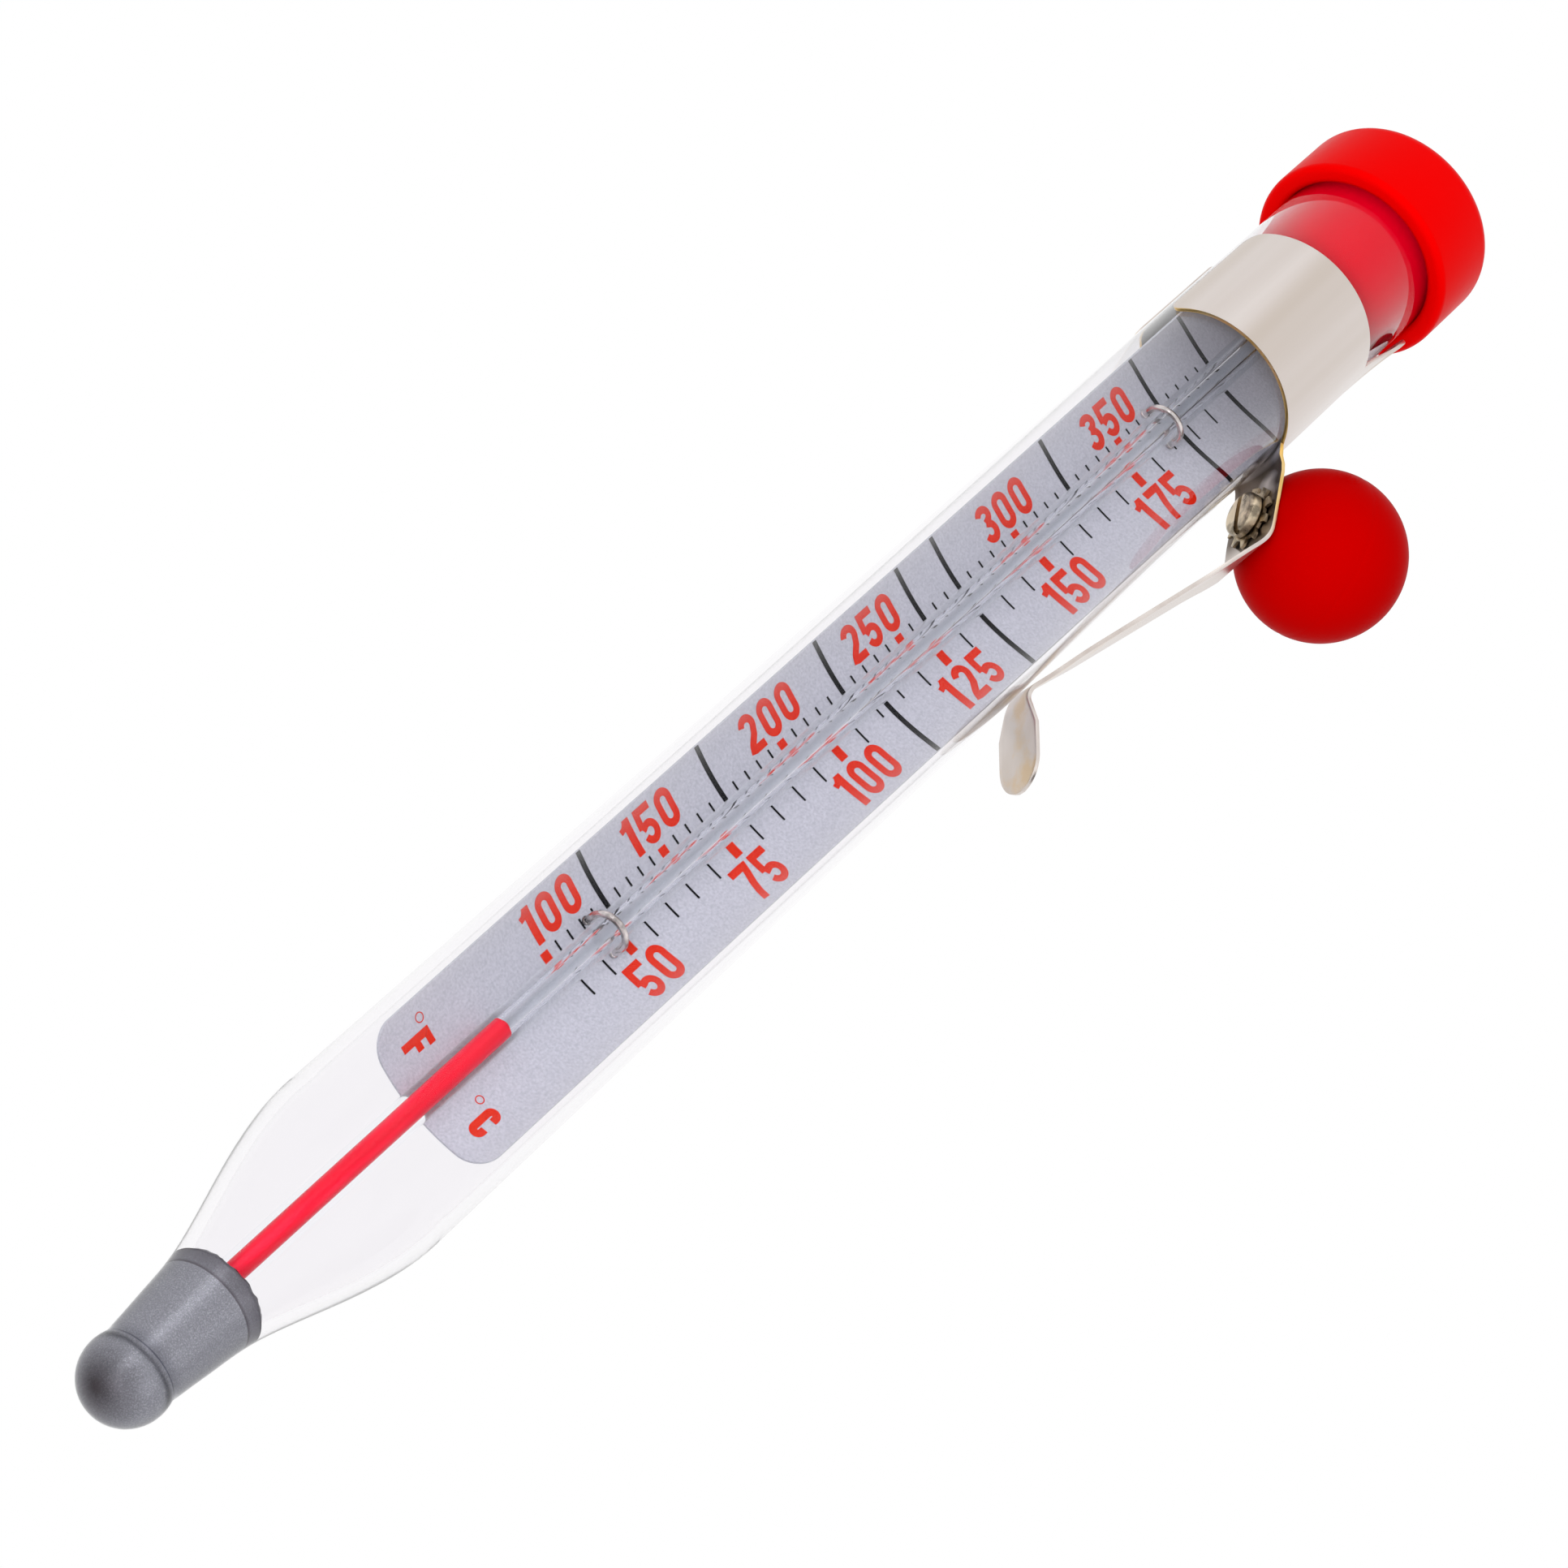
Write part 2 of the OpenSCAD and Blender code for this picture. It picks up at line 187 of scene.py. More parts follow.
def lathe(name, profile, segments, flip=False, warp=None):
    """Surface of revolution about Z from (radius, height) points; warp may move each vertex."""
    verts, rings, faces = [], [], []
    for r, z in profile:
        count = 1 if r < 1e-6 else segments
        rings.append([len(verts) + k % count for k in range(segments)])
        angles = [2 * math.pi * k / segments for k in range(count)]
        verts += [(max(r, 0.0) * math.cos(a), max(r, 0.0) * math.sin(a), z) for a in angles]
    for low, high in zip(rings, rings[1:]):
        for k in range(segments):
            n = (k + 1) % segments
            corners = list(dict.fromkeys([low[k], low[n], high[n], high[k]]))
            if len(corners) > 2:
                faces.append(corners[::-1] if flip else corners)
    if warp:
        verts = [warp(Vector(v)) for v in verts]
    return mesh_object(name, verts, faces)


def ellipse(cx, cy, rx, ry, a0, a1, n=14):
    """Points of an elliptical arc, angles in degrees."""
    angles = [math.radians(a0 + (a1 - a0) * i / n) for i in range(n + 1)]
    return [(cx + rx * math.cos(a), cy + ry * math.sin(a)) for a in angles]


def arc_points(cx, cy, r, a0, a1, n):
    return ellipse(cx, cy, r, r, a0, a1, n)


def eased(length, n):
    """Distances from 0 to length, close together at the start."""
    return [length * (1 - math.cos(math.pi / 2 * i / n)) for i in range(n + 1)]


def round_corner(r, depth):
    """How far a rounded corner of radius r reaches sideways at a depth below its edge."""
    return math.sqrt(max(0.0, r ** 2 - max(0.0, r - depth) ** 2))


def ring_quads(low, high, count):
    """Faces between two closed rings of count vertices, which start at the indices low and high."""
    return [[low + k, low + (k + 1) % count, high + (k + 1) % count, high + k] for k in range(count)]


def closed_sheet(quads, total):
    """Front, back (the same grid, total vertices later) and rim of a sheet; the rim comes last."""
    edges = dict.fromkeys(edge for quad in quads for edge in zip(quad, quad[1:] + quad[:1]))
    rim = [[b, a, total + a, total + b] for a, b in edges if (b, a) not in edges]
    return quads + [[total + v for v in quad[::-1]] for quad in quads] + rim


def move(obj, offset):
    """Shifts a mesh by an offset in mm."""
    obj.data.transform(Matrix.Translation(Vector(offset) * MM))
    return obj


def edit(obj, change):
    """Runs change on an object's mesh as a bmesh."""
    bm = bmesh.new()
    bm.from_mesh(obj.data)
    bm.faces.ensure_lookup_table()
    change(bm)
    bm.to_mesh(obj.data)
    bm.free()
    return obj


def sharpen(obj, degrees=35):
    """Marks edges steeper than an angle as sharp, so that smooth shading stops there."""
    def mark(bm):
        for e in bm.edges:
            e.smooth = len(e.link_faces) == 2 and e.calc_face_angle(0) < math.radians(degrees)
    return edit(obj, mark)


def bevel_edges(obj, width, degrees):
    """Rounds every edge that is sharper than an angle; width in mm."""
    def bevel(bm):
        limit = math.radians(degrees)
        edges = [e for e in bm.edges if len(e.link_faces) == 2 and e.calc_face_angle(0) > limit]
        bmesh.ops.bevel(bm, geom=edges, offset=width * MM, segments=2, profile=0.5, affect="EDGES",
                        clamp_overlap=True)
    return sharpen(shade(edit(obj, bevel)))


def sweep(name, path, radius, segments):
    """Round wire along a path in mm, with flat ends."""
    points = [Vector(p) for p in path]
    count = len(points)
    verts, faces = [], []
    normal = None
    for i, p in enumerate(points):
        tangent = (points[min(i + 1, count - 1)] - points[max(i - 1, 0)]).normalized()
        if normal is None:
            normal = tangent.orthogonal().normalized()
        normal = (normal - tangent * normal.dot(tangent)).normalized()
        side = tangent.cross(normal)
        for k in range(segments):
            a = 2 * math.pi * k / segments
            verts.append(p + (normal * math.cos(a) + side * math.sin(a)) * radius)
    for i in range(count - 1):
        faces += ring_quads(i * segments, (i + 1) * segments, segments)
    faces.append(list(range(segments))[::-1])
    faces.append(list(range((count - 1) * segments, count * segments)))
    return mesh_object(name, verts, faces)


def join(name, objects):
    """One object from several meshes without parents."""
    bm = bmesh.new()
    for o in objects:
        bm.from_mesh(o.data)
    mesh = bpy.data.meshes.new(name)
    bm.to_mesh(mesh)
    bm.free()
    for o in objects:
        old = o.data
        bpy.data.objects.remove(o)
        bpy.data.meshes.remove(old)
    return add_object(name, mesh)


# ---- materials

class Nodes:
    """Short hand for building a material's node tree."""

    def __init__(self, name):
        self.material = bpy.data.materials.new(name)
        self.material.use_nodes = True
        self.tree = self.material.node_tree
        self.shader = self.tree.nodes["Principled BSDF"]
        self.output = self.tree.nodes["Material Output"]
        self.coords = self.tree.nodes.new("ShaderNodeTexCoord").outputs["Object"]

    def new(self, kind, **values):
        node = self.tree.nodes.new("ShaderNode" + kind)
        for key, value in values.items():
            setattr(node, key, value)
        return node

    def link(self, a, b):
        self.tree.links.new(a, b)

    def feed(self, socket, source):
        """Links a source to one of the shader's sockets."""
        self.link(source, self.shader.inputs[socket])

    def fill(self, node, **values):
        """Sets a node's sockets; an underscore in a name stands for a space."""
        for key, value in values.items():
            node.inputs[key.replace("_", " ")].default_value = value

    def set(self, **values):
        self.fill(self.shader, **values)

    def noise(self, scale, detail=3.0, stretch=(1, 1, 1)):
        place, node = self.new("Mapping"), self.new("TexNoise")
        self.fill(place, Scale=stretch)
        self.fill(node, Scale=scale, Detail=detail, Roughness=0.55)
        self.link(self.coords, place.inputs["Vector"])
        self.link(place.outputs["Vector"], node.inputs["Vector"])
        return node.outputs["Fac"]

    def ramp(self, source, stops):
        node = self.new("ValToRGB")
        self.link(source, node.inputs["Fac"])
        while len(node.color_ramp.elements) < len(stops):
            node.color_ramp.elements.new(0.5)
        for element, (position, colour) in zip(node.color_ramp.elements, stops):
            element.position = position
            element.color = (*colour, 1)
        return node.outputs["Color"]

    def axis(self, name):
        """One of the object coordinates X, Y and Z."""
        node = self.new("SeparateXYZ")
        self.link(self.coords, node.inputs[0])
        return node.outputs[name]

    def map_range(self, source, kind, low, high):
        node = self.new("MapRange")
        self.fill(node, **{kind + "_Min": low, kind + "_Max": high})
        self.link(source, node.inputs["Value"])
        return node.outputs["Result"]

    def between(self, source, low, high):
        """Goes from 0 to 1 as a length goes from low to high, in mm."""
        return self.map_range(source, "From", low * MM, high * MM)

    def spread(self, source, low, high):
        """Goes from low to high as the source goes from 0 to 1."""
        return self.map_range(source, "To", low, high)

    def height_band(self, stops):
        """Grey value that follows height, through (height in mm, value) stops."""
        low, high = stops[0][0], stops[-1][0]
        share = self.between(self.axis("Z"), low, high)
        return self.ramp(share, [((z - low) / (high - low), (v, v, v)) for z, v in stops])

    def times(self, a, b):
        node = self.new("Math", operation="MULTIPLY")
        self.link(a, node.inputs[0])
        self.link(b, node.inputs[1])
        return node.outputs[0]

    def mix(self, factor, a, b):
        """Colour that goes from a to b as the factor goes from 0 to 1; each is a colour or a socket."""
        node = self.new("Mix", data_type="RGBA", blend_type="MIX")
        self.link(factor, node.inputs["Factor"])
        for socket, value in (("A", a), ("B", b)):
            target = [i for i in node.inputs if i.name == socket and i.type == "RGBA"][0]
            if isinstance(value, tuple):
                target.default_value = (*value, 1)
            else:
                self.link(value, target)
        return [o for o in node.outputs if o.type == "RGBA"][0]

    def bump(self, source, strength, distance):
        node = self.new("Bump")
        self.fill(node, Strength=strength, Distance=distance)
        self.link(source, node.inputs["Height"])
        self.feed("Normal", node.outputs["Normal"])


def glass(name, tint, shine):
    """Clear glass that lets lamp light through to what is inside it."""
    m = Nodes(name)
    m.set(Base_Color=(*tint, 1), Transmission_Weight=1.0, IOR=1.5, Roughness=0.0,
          Specular_Tint=(shine, shine, shine, 1))
    clear = m.new("BsdfTransparent")
    m.fill(clear, Color=(0.97, 0.98, 0.98, 1))
    path = m.new("LightPath")
    mix = m.new("MixShader")
    sources = (path.outputs["Is Shadow Ray"], m.shader.outputs[0], clear.outputs[0])
    for source, socket in zip(sources, mix.inputs):
        m.link(source, socket)
    m.link(mix.outputs[0], m.output.inputs["Surface"])
    return m.material


def plastic(name, colour, dark, roughness, grain, shine):
    """Moulded plastic with a faint mottle and a fine skin."""
    m = Nodes(name)
    m.set(Specular_IOR_Level=shine, Specular_Tint=(1.0, 0.08, 0.1, 1))
    mottle = m.noise(140.0, 4.0)
    m.feed("Base Color", m.mix(m.spread(mottle, 0.0, 0.35), colour, dark))
    m.feed("Roughness", m.spread(m.noise(900.0, 3.0), roughness - 0.05, roughness + 0.06))
    m.bump(m.noise(2600.0, 3.0), grain, 0.00004)
    return m.material


def spring_steel():
    """Satin stainless sheet with streaks along Z, painted dark brown shade on the panel, painted golden-brown
    shade on the strip's outer face, and brown spots near the tongue.
    """
    m = Nodes("spring_steel_satin")
    m.set(Metallic=1.0)
    rolled = (1.0, 1.0, 0.03)
    broad, fine = m.noise(150.0, 2.0, rolled), m.noise(1500.0, 3.0, rolled)
    greys = [(0.3, (0.60, 0.525, 0.465)), (0.5, (0.70, 0.635, 0.60)), (0.68, (0.78, 0.725, 0.70))]
    colour = m.ramp(broad, greys)
    colour = m.mix(m.spread(fine, 0.0, 0.22), colour, (0.56, 0.50, 0.45))
    heat = m.between(m.axis("Z"), CONTACT_Z + 19.7, CONTACT_Z - 6.3)
    stains = m.ramp(m.noise(260.0, 4.0), [(0.5, (0, 0, 0)), (0.66, (1, 1, 1))])
    colour = m.mix(m.spread(m.times(heat, stains), 0.0, 0.75), colour, (0.66, 0.48, 0.28))
    foot, top = PANEL_END.y, BAND_LOW_Z
    # Painted shade: the panel goes dark brown over its heights, broken up by noise
    panel = m.height_band([(foot - 1.2, 0.0), (foot + 0.8, 1.0), (top - 1.45, 1.0), (top - 0.55, 0.0)])
    panel_shade_mottle = m.ramp(m.noise(200.0, 2.0), [(0.24, (0, 0, 0)), (0.4, (1, 1, 1))])
    colour = m.mix(m.spread(m.times(panel, panel_shade_mottle), 0.0, 0.94), colour, (0.07, 0.04, 0.02))
    # Painted shade: golden-brown on the strip's outer face, from the band's lower edge up over the tab
    outer_face = m.between(m.axis("X"), STRIP_MID_X - 0.05, STRIP_MID_X + SHEET_T / 2 + 0.03)
    upper = m.height_band([(top - 1.5, 0.0), (top + 4.0, 0.35), (BAND_HIGH_Z, 0.8), (BAND_HIGH_Z + 20, 0.8)])
    colour = m.mix(m.times(outer_face, upper), colour, (0.50, 0.38, 0.25))
    m.feed("Base Color", colour)
    m.feed("Roughness", m.spread(broad, 0.24, 0.36))
    m.bump(fine, 0.08, 0.00001)
    return m.material


def cut_edge():
    """Raw cut edge of the sheet, with a straw heat tint round the panel."""
    m = Nodes("spring_steel_edge")
    m.set(Metallic=1.0, Roughness=0.3)
    tint = m.noise(240.0, 3.0)
    straw = m.ramp(tint, [(0.35, (0.72, 0.46, 0.13)), (0.65, (0.84, 0.62, 0.30))])
    pale = m.ramp(tint, [(0.35, (0.60, 0.53, 0.49)), (0.65, (0.74, 0.68, 0.64))])
    foot, top = PANEL_END.y, BAND_LOW_Z
    tinted = m.height_band([(foot - 1.7, 0.0), (foot + 2.3, 1.0), (top + 0.45, 1.0), (top + 1.05, 0.0)])
    m.feed("Base Color", m.mix(tinted, pale, straw))
    m.bump(m.noise(3000.0, 2.0), 0.2, 0.00002)
    return m.material


def plated(name, colour, roughness, scale=1500.0):
    """Small bright metal part with handling marks."""
    m = Nodes(name)
    m.set(Metallic=1.0)
    wear = m.noise(scale, 4.0)
    dull = tuple(c * 0.35 for c in colour)
    m.feed("Base Color", m.ramp(wear, [(0.38, dull), (0.56, colour)]))
    m.feed("Roughness", m.spread(wear, roughness, roughness + 0.2))
    m.bump(wear, 0.12, 0.00003)
    return m.material


def plate_finish():
    """Silver lacquered aluminium with a fine speckle."""
    m = Nodes("plate_silver")
    m.set(Metallic=0.3, Coat_Weight=0.05, Coat_Roughness=0.3, Specular_IOR_Level=0.3)
    speckle = m.noise(4200.0, 2.0)
    cloud = m.noise(90.0, 3.0, (1.0, 1.0, 0.3))
    base = m.ramp(speckle, [(0.3, (0.42, 0.43, 0.495)), (0.7, (0.57, 0.58, 0.65))])
    m.feed("Base Color", m.mix(m.spread(cloud, 0.0, 0.3), base, (0.49, 0.51, 0.57)))
    m.feed("Roughness", m.spread(cloud, 0.36, 0.48))
    m.bump(speckle, 0.15, 0.00002)
    return m.material


def ink(name, colour, light):
    """Screen-printed ink, a little uneven in cover."""
    m = Nodes(name)
    m.set(Specular_IOR_Level=0.06)
    cover = m.noise(1800.0, 3.0)
    m.feed("Base Color", m.ramp(cover, [(0.3, colour), (0.75, light)]))
    m.feed("Roughness", m.spread(cover, 0.4, 0.55))
    return m.material


def spirit_finish():
    """Dyed red liquid with a little painted glow, and painted lighter and darker streaks along it."""
    m = Nodes("spirit_red")
    # Painted glow: the liquid emits a little red light though it is no lamp
    m.set(Emission_Color=(1.0, 0.0, 0.03, 1), Emission_Strength=0.2, Roughness=0.18, Specular_IOR_Level=0.8,
          Specular_Tint=(1.0, 0.15, 0.22, 1))
    # Painted highlight and shade: lighter and darker red streaks along the column
    streaks = m.noise(1100.0, 2.0, (1.0, 1.0, 0.04))
    reds = [(0.36, (0.62, 0.0, 0.014)), (0.5, (0.78, 0.0, 0.024)), (0.66, (0.95, 0.02, 0.06))]
    m.feed("Base Color", m.ramp(streaks, reds))
    return m.material


def filling_finish():
    """Grainy grey metal packing, with painted shade under its rim and at the neck crease, and a painted dark
    reflection on the ball.
    """
    m = Nodes("filling_grain")
    m.set(Metallic=0.85)
    grain, soft = m.noise(9000.0, 2.0), m.noise(500.0, 3.0)
    greys = [(0.36, (0.21, 0.215, 0.24)), (0.55, (0.30, 0.305, 0.34)), (0.7, (0.46, 0.47, 0.52))]
    colour = m.mix(m.spread(soft, 0.1, 0.6), m.ramp(grain, greys), (0.28, 0.285, 0.32))
    rim_z, neck_z = FILLING_TOP - 1.9, BALL_Z + 1.45
    # Painted shade: a dark line under the rim and a darker band up to the top
    rim = m.height_band([(rim_z - 0.1, 0.0), (rim_z, 0.95), (rim_z + 0.25, 0.45), (FILLING_TOP, 0.8)])
    # Painted shade: a dark crease line and soft shade round the neck
    neck = m.height_band([(neck_z - 0.9, 0.0), (neck_z - 0.12, 0.35), (neck_z, 0.95), (neck_z + 0.12, 0.45),
                          (neck_z + 1.3, 0.0)])
    colour = m.mix(rim, colour, (0.10, 0.09, 0.105))
    colour = m.mix(neck, colour, (0.06, 0.062, 0.085))
    # Painted reflection: a near-black spot on the ball that fades out from its core
    reflection_spot = m.new("VectorMath", operation="DISTANCE")
    m.link(m.coords, reflection_spot.inputs[0])
    reflection_spot.inputs[1].default_value = (Vector(REFLECTION_SPOT_AT) + Vector((0, 0, BALL_Z))) * MM
    stops = [(REFLECTION_SPOT_CORE * MM, (0.95, 0.95, 0.95)), (REFLECTION_SPOT_EDGE * MM, (0, 0, 0))]
    reflection_fade = m.ramp(reflection_spot.outputs["Value"], stops)
    m.feed("Base Color", m.mix(reflection_fade, colour, (0.012, 0.002, 0.003)))
    m.feed("Roughness", m.spread(soft, 0.26, 0.34))
    m.bump(grain, 0.2, 0.00002)
    return m.material


def cork_finish():
    """Pressed cork."""
    m = Nodes("cork_pressed")
    m.set(Roughness=0.85)
    cells = m.new("TexVoronoi")
    m.fill(cells, Scale=1100.0)
    m.link(m.coords, cells.inputs["Vector"])
    browns = [(0.2, (0.30, 0.17, 0.08)), (0.8, (0.58, 0.38, 0.20))]
    m.feed("Base Color", m.ramp(cells.outputs["Color"], browns))
    m.bump(cells.outputs["Distance"], 0.5, 0.0001)
    return m.material


def finish_piece(obj, material, slot_name, body, *nodes):
    """Material, record slot (not used), body and the CAD nodes the piece stands for."""
    obj.data.materials.clear()
    obj.data.materials.append(material)
    if nodes:
        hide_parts(*nodes)
    if body:
        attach(obj, body)


# ---- glass tube and its contents

def tube_outline(inset, top_z, steps=40):
    """Outside of the tube from the tip up, moved inwards by inset."""
    ball, neck = TIP_BALL_R - inset, NECK_R - inset
    start = math.degrees(math.acos(min(1.0, neck / ball)))
    points = arc_points(0, BALL_Z, ball, -90, start, 16)
    neck_z = points[-1][1]
    end_z = SHOULDER_Z + SHOULDER_LEN
    for i in range(1, steps + 1):
        z = neck_z + (end_z - neck_z) * i / steps
        flare = NECK_FLARE * (z - neck_z)
        curve = (TUBE_R - NECK_R) * smoothstep((z - SHOULDER_Z) / SHOULDER_LEN)
        blend = 0.3 * smoothstep((z - neck_z) / 5.0)
        wide = (flare + curve + math.sqrt((flare - curve) ** 2 + blend ** 2)) / 2
        points.append((min(neck + wide, TUBE_R - inset), z))
    points.append((TUBE_R - inset, top_z))
    return points


def make_tube():
    outer = tube_outline(0, MOUTH_Z - RIM_R)
    rim = arc_points(TUBE_R - RIM_R, MOUTH_Z - RIM_R, RIM_R, 15, 90, 5)
    rim += arc_points(TUBE_R - TUBE_WALL + RIM_R, MOUTH_Z - RIM_R, RIM_R, 100, 165, 5)
    inner = tube_outline(TUBE_WALL, MOUTH_Z - RIM_R)[::-1]
    tube = lathe("tube_glass", outer + rim + inner, 256)
    finish_piece(tube, glass("glass_clear", (0.953, 0.943, 0.958), 0.03), "clear_glass", "tube", "glass_tube")


def make_cap():
    """Cap with a dished gate mark on its top, a skirt over the glass and the plug inside it."""
    low, high = box_mm("end_cap")
    r, top, plug_z = high.x - 0.02, high.z, low.z
    edge, foot, plug_r, bore = 2.0, 0.8, 6.6, TUBE_R + 0.02
    lip, plug_top = 0.7, TUBE_R - TUBE_WALL - 0.1
    profile = [(0.0, plug_z + 0.8), (plug_r - 1.8, plug_z + 0.8), (plug_r - 1.6, plug_z + 0.7)]
    profile += arc_points(plug_r - 1.2, plug_z + 0.4, 0.4, 200, 270, 4)
    profile += arc_points(plug_r - 0.4, plug_z + 0.4, 0.4, -80, 0, 5)
    profile += [(plug_top, -0.3), (plug_top, MOUTH_Z + 0.03), (bore, MOUTH_Z + 0.03), (bore, lip)]
    profile += arc_points(bore + lip, lip, lip, 180, 270, 8)
    profile += arc_points(r - foot, foot, foot, -90, 0, 6)
    profile += arc_points(r - edge, top - edge, edge, 0, 82, 12)
    profile += [(r - 2.4, top - 0.04), (6.0, top - 0.01), (2.0, top), (1.6, top - 0.03), (1.45, top - 0.25),
                (0.8, top - 0.3), (0.0, top - 0.3)]
    cap = sharpen(lathe("cap_moulded", profile, 160), 40)
    red = plastic("plastic_cap_red", (0.62, 0.0, 0.0), (0.54, 0.0, 0.0), 0.3, 0.12, 0.02)
    plug_red = plastic("plastic_plug_red", (0.74, 0.0, 0.014), (0.64, 0.0, 0.014), 0.3, 0.12, 0.0)
    inside, below = (plug_top + 0.02) * MM, (MOUTH_Z + 0.02) * MM
    plug_faces = [int(face.center.xy.length < inside and face.center.z < below) for face in cap.data.polygons]
    finish_piece(cap, red, "cap_plastic", "tube", "end_cap")
    cap.data.materials.append(plug_red)
    cap.data.polygons.foreach_set("material_index", plug_faces)


def make_pad():
    low, high = box_mm("top_pad")
    r, soft = high.x - 0.02, 0.3
    profile = [(0.0, low.z), (r - soft, low.z), (r, low.z + soft), (r, high.z - soft), (r - soft, high.z),
               (0.0, high.z)]
    finish_piece(lathe("pad_cork", profile, 96), cork_finish(), "cork", "tube", "top_pad")


def make_filling():
    """Packing that wets the glass, with a lumpy top."""
    inset = TUBE_WALL - 0.02
    side = [p for p in tube_outline(inset, FILLING_TOP, 180) if p[1] < FILLING_TOP - 0.5]
    edge_r = side[-1][0]
    top = [(edge_r - 0.02, FILLING_TOP - 0.35), (edge_r * 0.97, FILLING_TOP - 0.15)]
    top += [(edge_r * f, FILLING_TOP - 0.1 - 0.3 * math.sin(6 * f) ** 2) for f in
            (0.9, 0.83, 0.75, 0.67, 0.58, 0.5, 0.4, 0.3)]
    top.append((0.0, FILLING_TOP - 0.4))

    def lumpy(v):
        bump = min(max(0.5 + 0.6 * noise.noise(v * 1.7) + 0.3 * noise.noise(v * 4.5), 0.0), 1.0)
        drop = 0.22 * bump * smoothstep((v.z - FILLING_TOP + 0.7) / 0.5)
        return Vector((v.x, v.y, v.z - drop))

    filling = lathe("filling_packed", side + top, 160, warp=lumpy)
    finish_piece(filling, filling_finish(), "grey_filling", "scale", "tip_filling")


def make_stem():
    """Solid glass rod with a bore, a taper and a bulb at its foot."""
    low, high = box_mm("capillary_stem")
    centre = (low + high) / 2
    stem_r = 1.5
    bulb_r = (high.x - low.x) / 2
    bulb_z, taper_z = low.z + bulb_r, low.z + 9.0
    profile = arc_points(0, bulb_z, bulb_r, -90, 0, 14)
    profile += [(bulb_r, taper_z), (bulb_r - 0.06, taper_z + 0.5), (stem_r + 0.04, taper_z + 1.1),
                (stem_r, taper_z + 1.6), (stem_r, high.z - stem_r)]
    profile += arc_points(0, high.z - stem_r, stem_r, 8, 90, 12)
    rod = lathe("rod_outside", profile, 128)
    top = high.z - 2 * stem_r
    bore = arc_points(0, taper_z + BORE_START, BORE_R, -90, 0, 6) + arc_points(0, top, BORE_R, 0, 90, 6)
    hole = lathe("rod_bore", bore, 72, flip=True)
    stem = move(join("stem_glass", [rod, hole]), (centre.x + STEM_SHIFT, centre.y, 0))
    material = glass("glass_stem", (0.985, 0.995, 1.0), 0.3)
    finish_piece(stem, material, "clear_glass", "scale", "capillary_stem")


def make_column():
    """Red liquid from the bulb to the meniscus."""
    low, high = box_mm("spirit_column")
    top = box_mm("spirit_meniscus")[1].z
    centre = (low + high) / 2
    steps, dome_height = 90, COLUMN_R * 0.75
    start, dome = low.z + 0.2, top - dome_height
    profile = [(0.0, start)] + [(COLUMN_R, start + (dome - start) * i / steps) for i in range(steps + 1)]
    profile += ellipse(0, dome, COLUMN_R, dome_height, 0, 90, DOME_RINGS)[1:-1] + [(0.0, top)]
    column = move(lathe("column_red", profile, 48), (centre.x + STEM_SHIFT, centre.y, 0))
    finish_piece(column, spirit_finish(), "red_spirit", None, "spirit_column", "spirit_meniscus")
    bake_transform(column)


# ---- scale plate, print and ties

def on_plate(u, z, lift=0.0):
    """Point on the plate's printed face at arc length u from its middle, lifted towards the stem."""
    a = u / PLATE_INNER_R
    r = PLATE_INNER_R - lift
    return (PLATE_X + r * math.sin(a), PLATE_Y + r * math.cos(a), z)


def height_of(fahrenheit):
    """Height of a temperature on the scale."""
    for (t0, z0), (t1, z1) in zip(SCALE, SCALE[1:]):
        if fahrenheit <= t1 or t1 == SCALE[-1][0]:
            return z0 + (z1 - z0) * (fahrenheit - t0) / (t1 - t0)


def climb(z):
    """Share of the way up the scale, which the left-hand print drifts inwards by."""
    return (z - height_of(100)) / (height_of(350) - height_of(100))


def narrowing(z):
    """Factor on the width of the plate's left half, which tapers up the scale."""
    return 1 - PLATE_TAPER * max(0.0, climb(z))


def make_plate():
    """Curved sheet with rounded lower corners."""
    body = PLATE_HIGH.z - PLATE_LOW.z - PLATE_CORNER_R
    rows = [PLATE_LOW.z + d for d in eased(PLATE_CORNER_R, 12)]
    rows += [PLATE_LOW.z + PLATE_CORNER_R + body * i / 24 for i in range(1, 25)]
    columns, verts = 40, []
    for thick in (0, PLATE_T):
        for z in rows:
            half = PLATE_HALF - PLATE_CORNER_R + round_corner(PLATE_CORNER_R, z - PLATE_LOW.z)
            reach = math.asin(half / (PLATE_INNER_R + PLATE_T))
            for k in range(columns + 1):
                share = 2 * k / columns - 1
                u = PLATE_INNER_R * reach * share * (narrowing(z) if share < 0 else 1)
                verts.append(on_plate(u, z, -thick))
    width = columns + 1
    quads = [[i * width + k, i * width + k + 1, (i + 1) * width + k + 1, (i + 1) * width + k]
             for i in range(len(rows) - 1) for k in range(columns)]
    plate = sharpen(mesh_object("plate_sheet", verts, closed_sheet(quads, len(rows) * width)))
    finish_piece(plate, plate_finish(), "scale_aluminium", "scale", "scale_plate")


def celsius_height(t):
    return height_of(t * 1.8 + 32)


def printed(name, verts, faces, material):
    """A mark of ink on the plate, with every face towards the reader."""
    def face_front(bm):
        for face in bm.faces:
            face.normal_update()
            if face.normal.y > 0:
                face.normal_flip()
    mark = edit(mesh_object(name, verts, faces), face_front)
    finish_piece(mark, material, "scale_aluminium", "scale")


def printed_bars(name, bars, material):
    """Bars across the plate, each as (left end, right end, height, thickness)."""
    verts, faces = [], []
    for u0, u1, z, thickness in bars:
        base, steps = len(verts), max(2, int(abs(u1 - u0) / 0.5))
        for i in range(steps + 1):
            u = u0 + (u1 - u0) * i / steps
            verts += [on_plate(u, z + side * thickness / 2, INK_LIFT) for side in (-1, 1)]
        faces += [[base + 2 * i + k for k in (0, 2, 3, 1)] for i in range(steps)]
    printed(name, verts, faces, material)


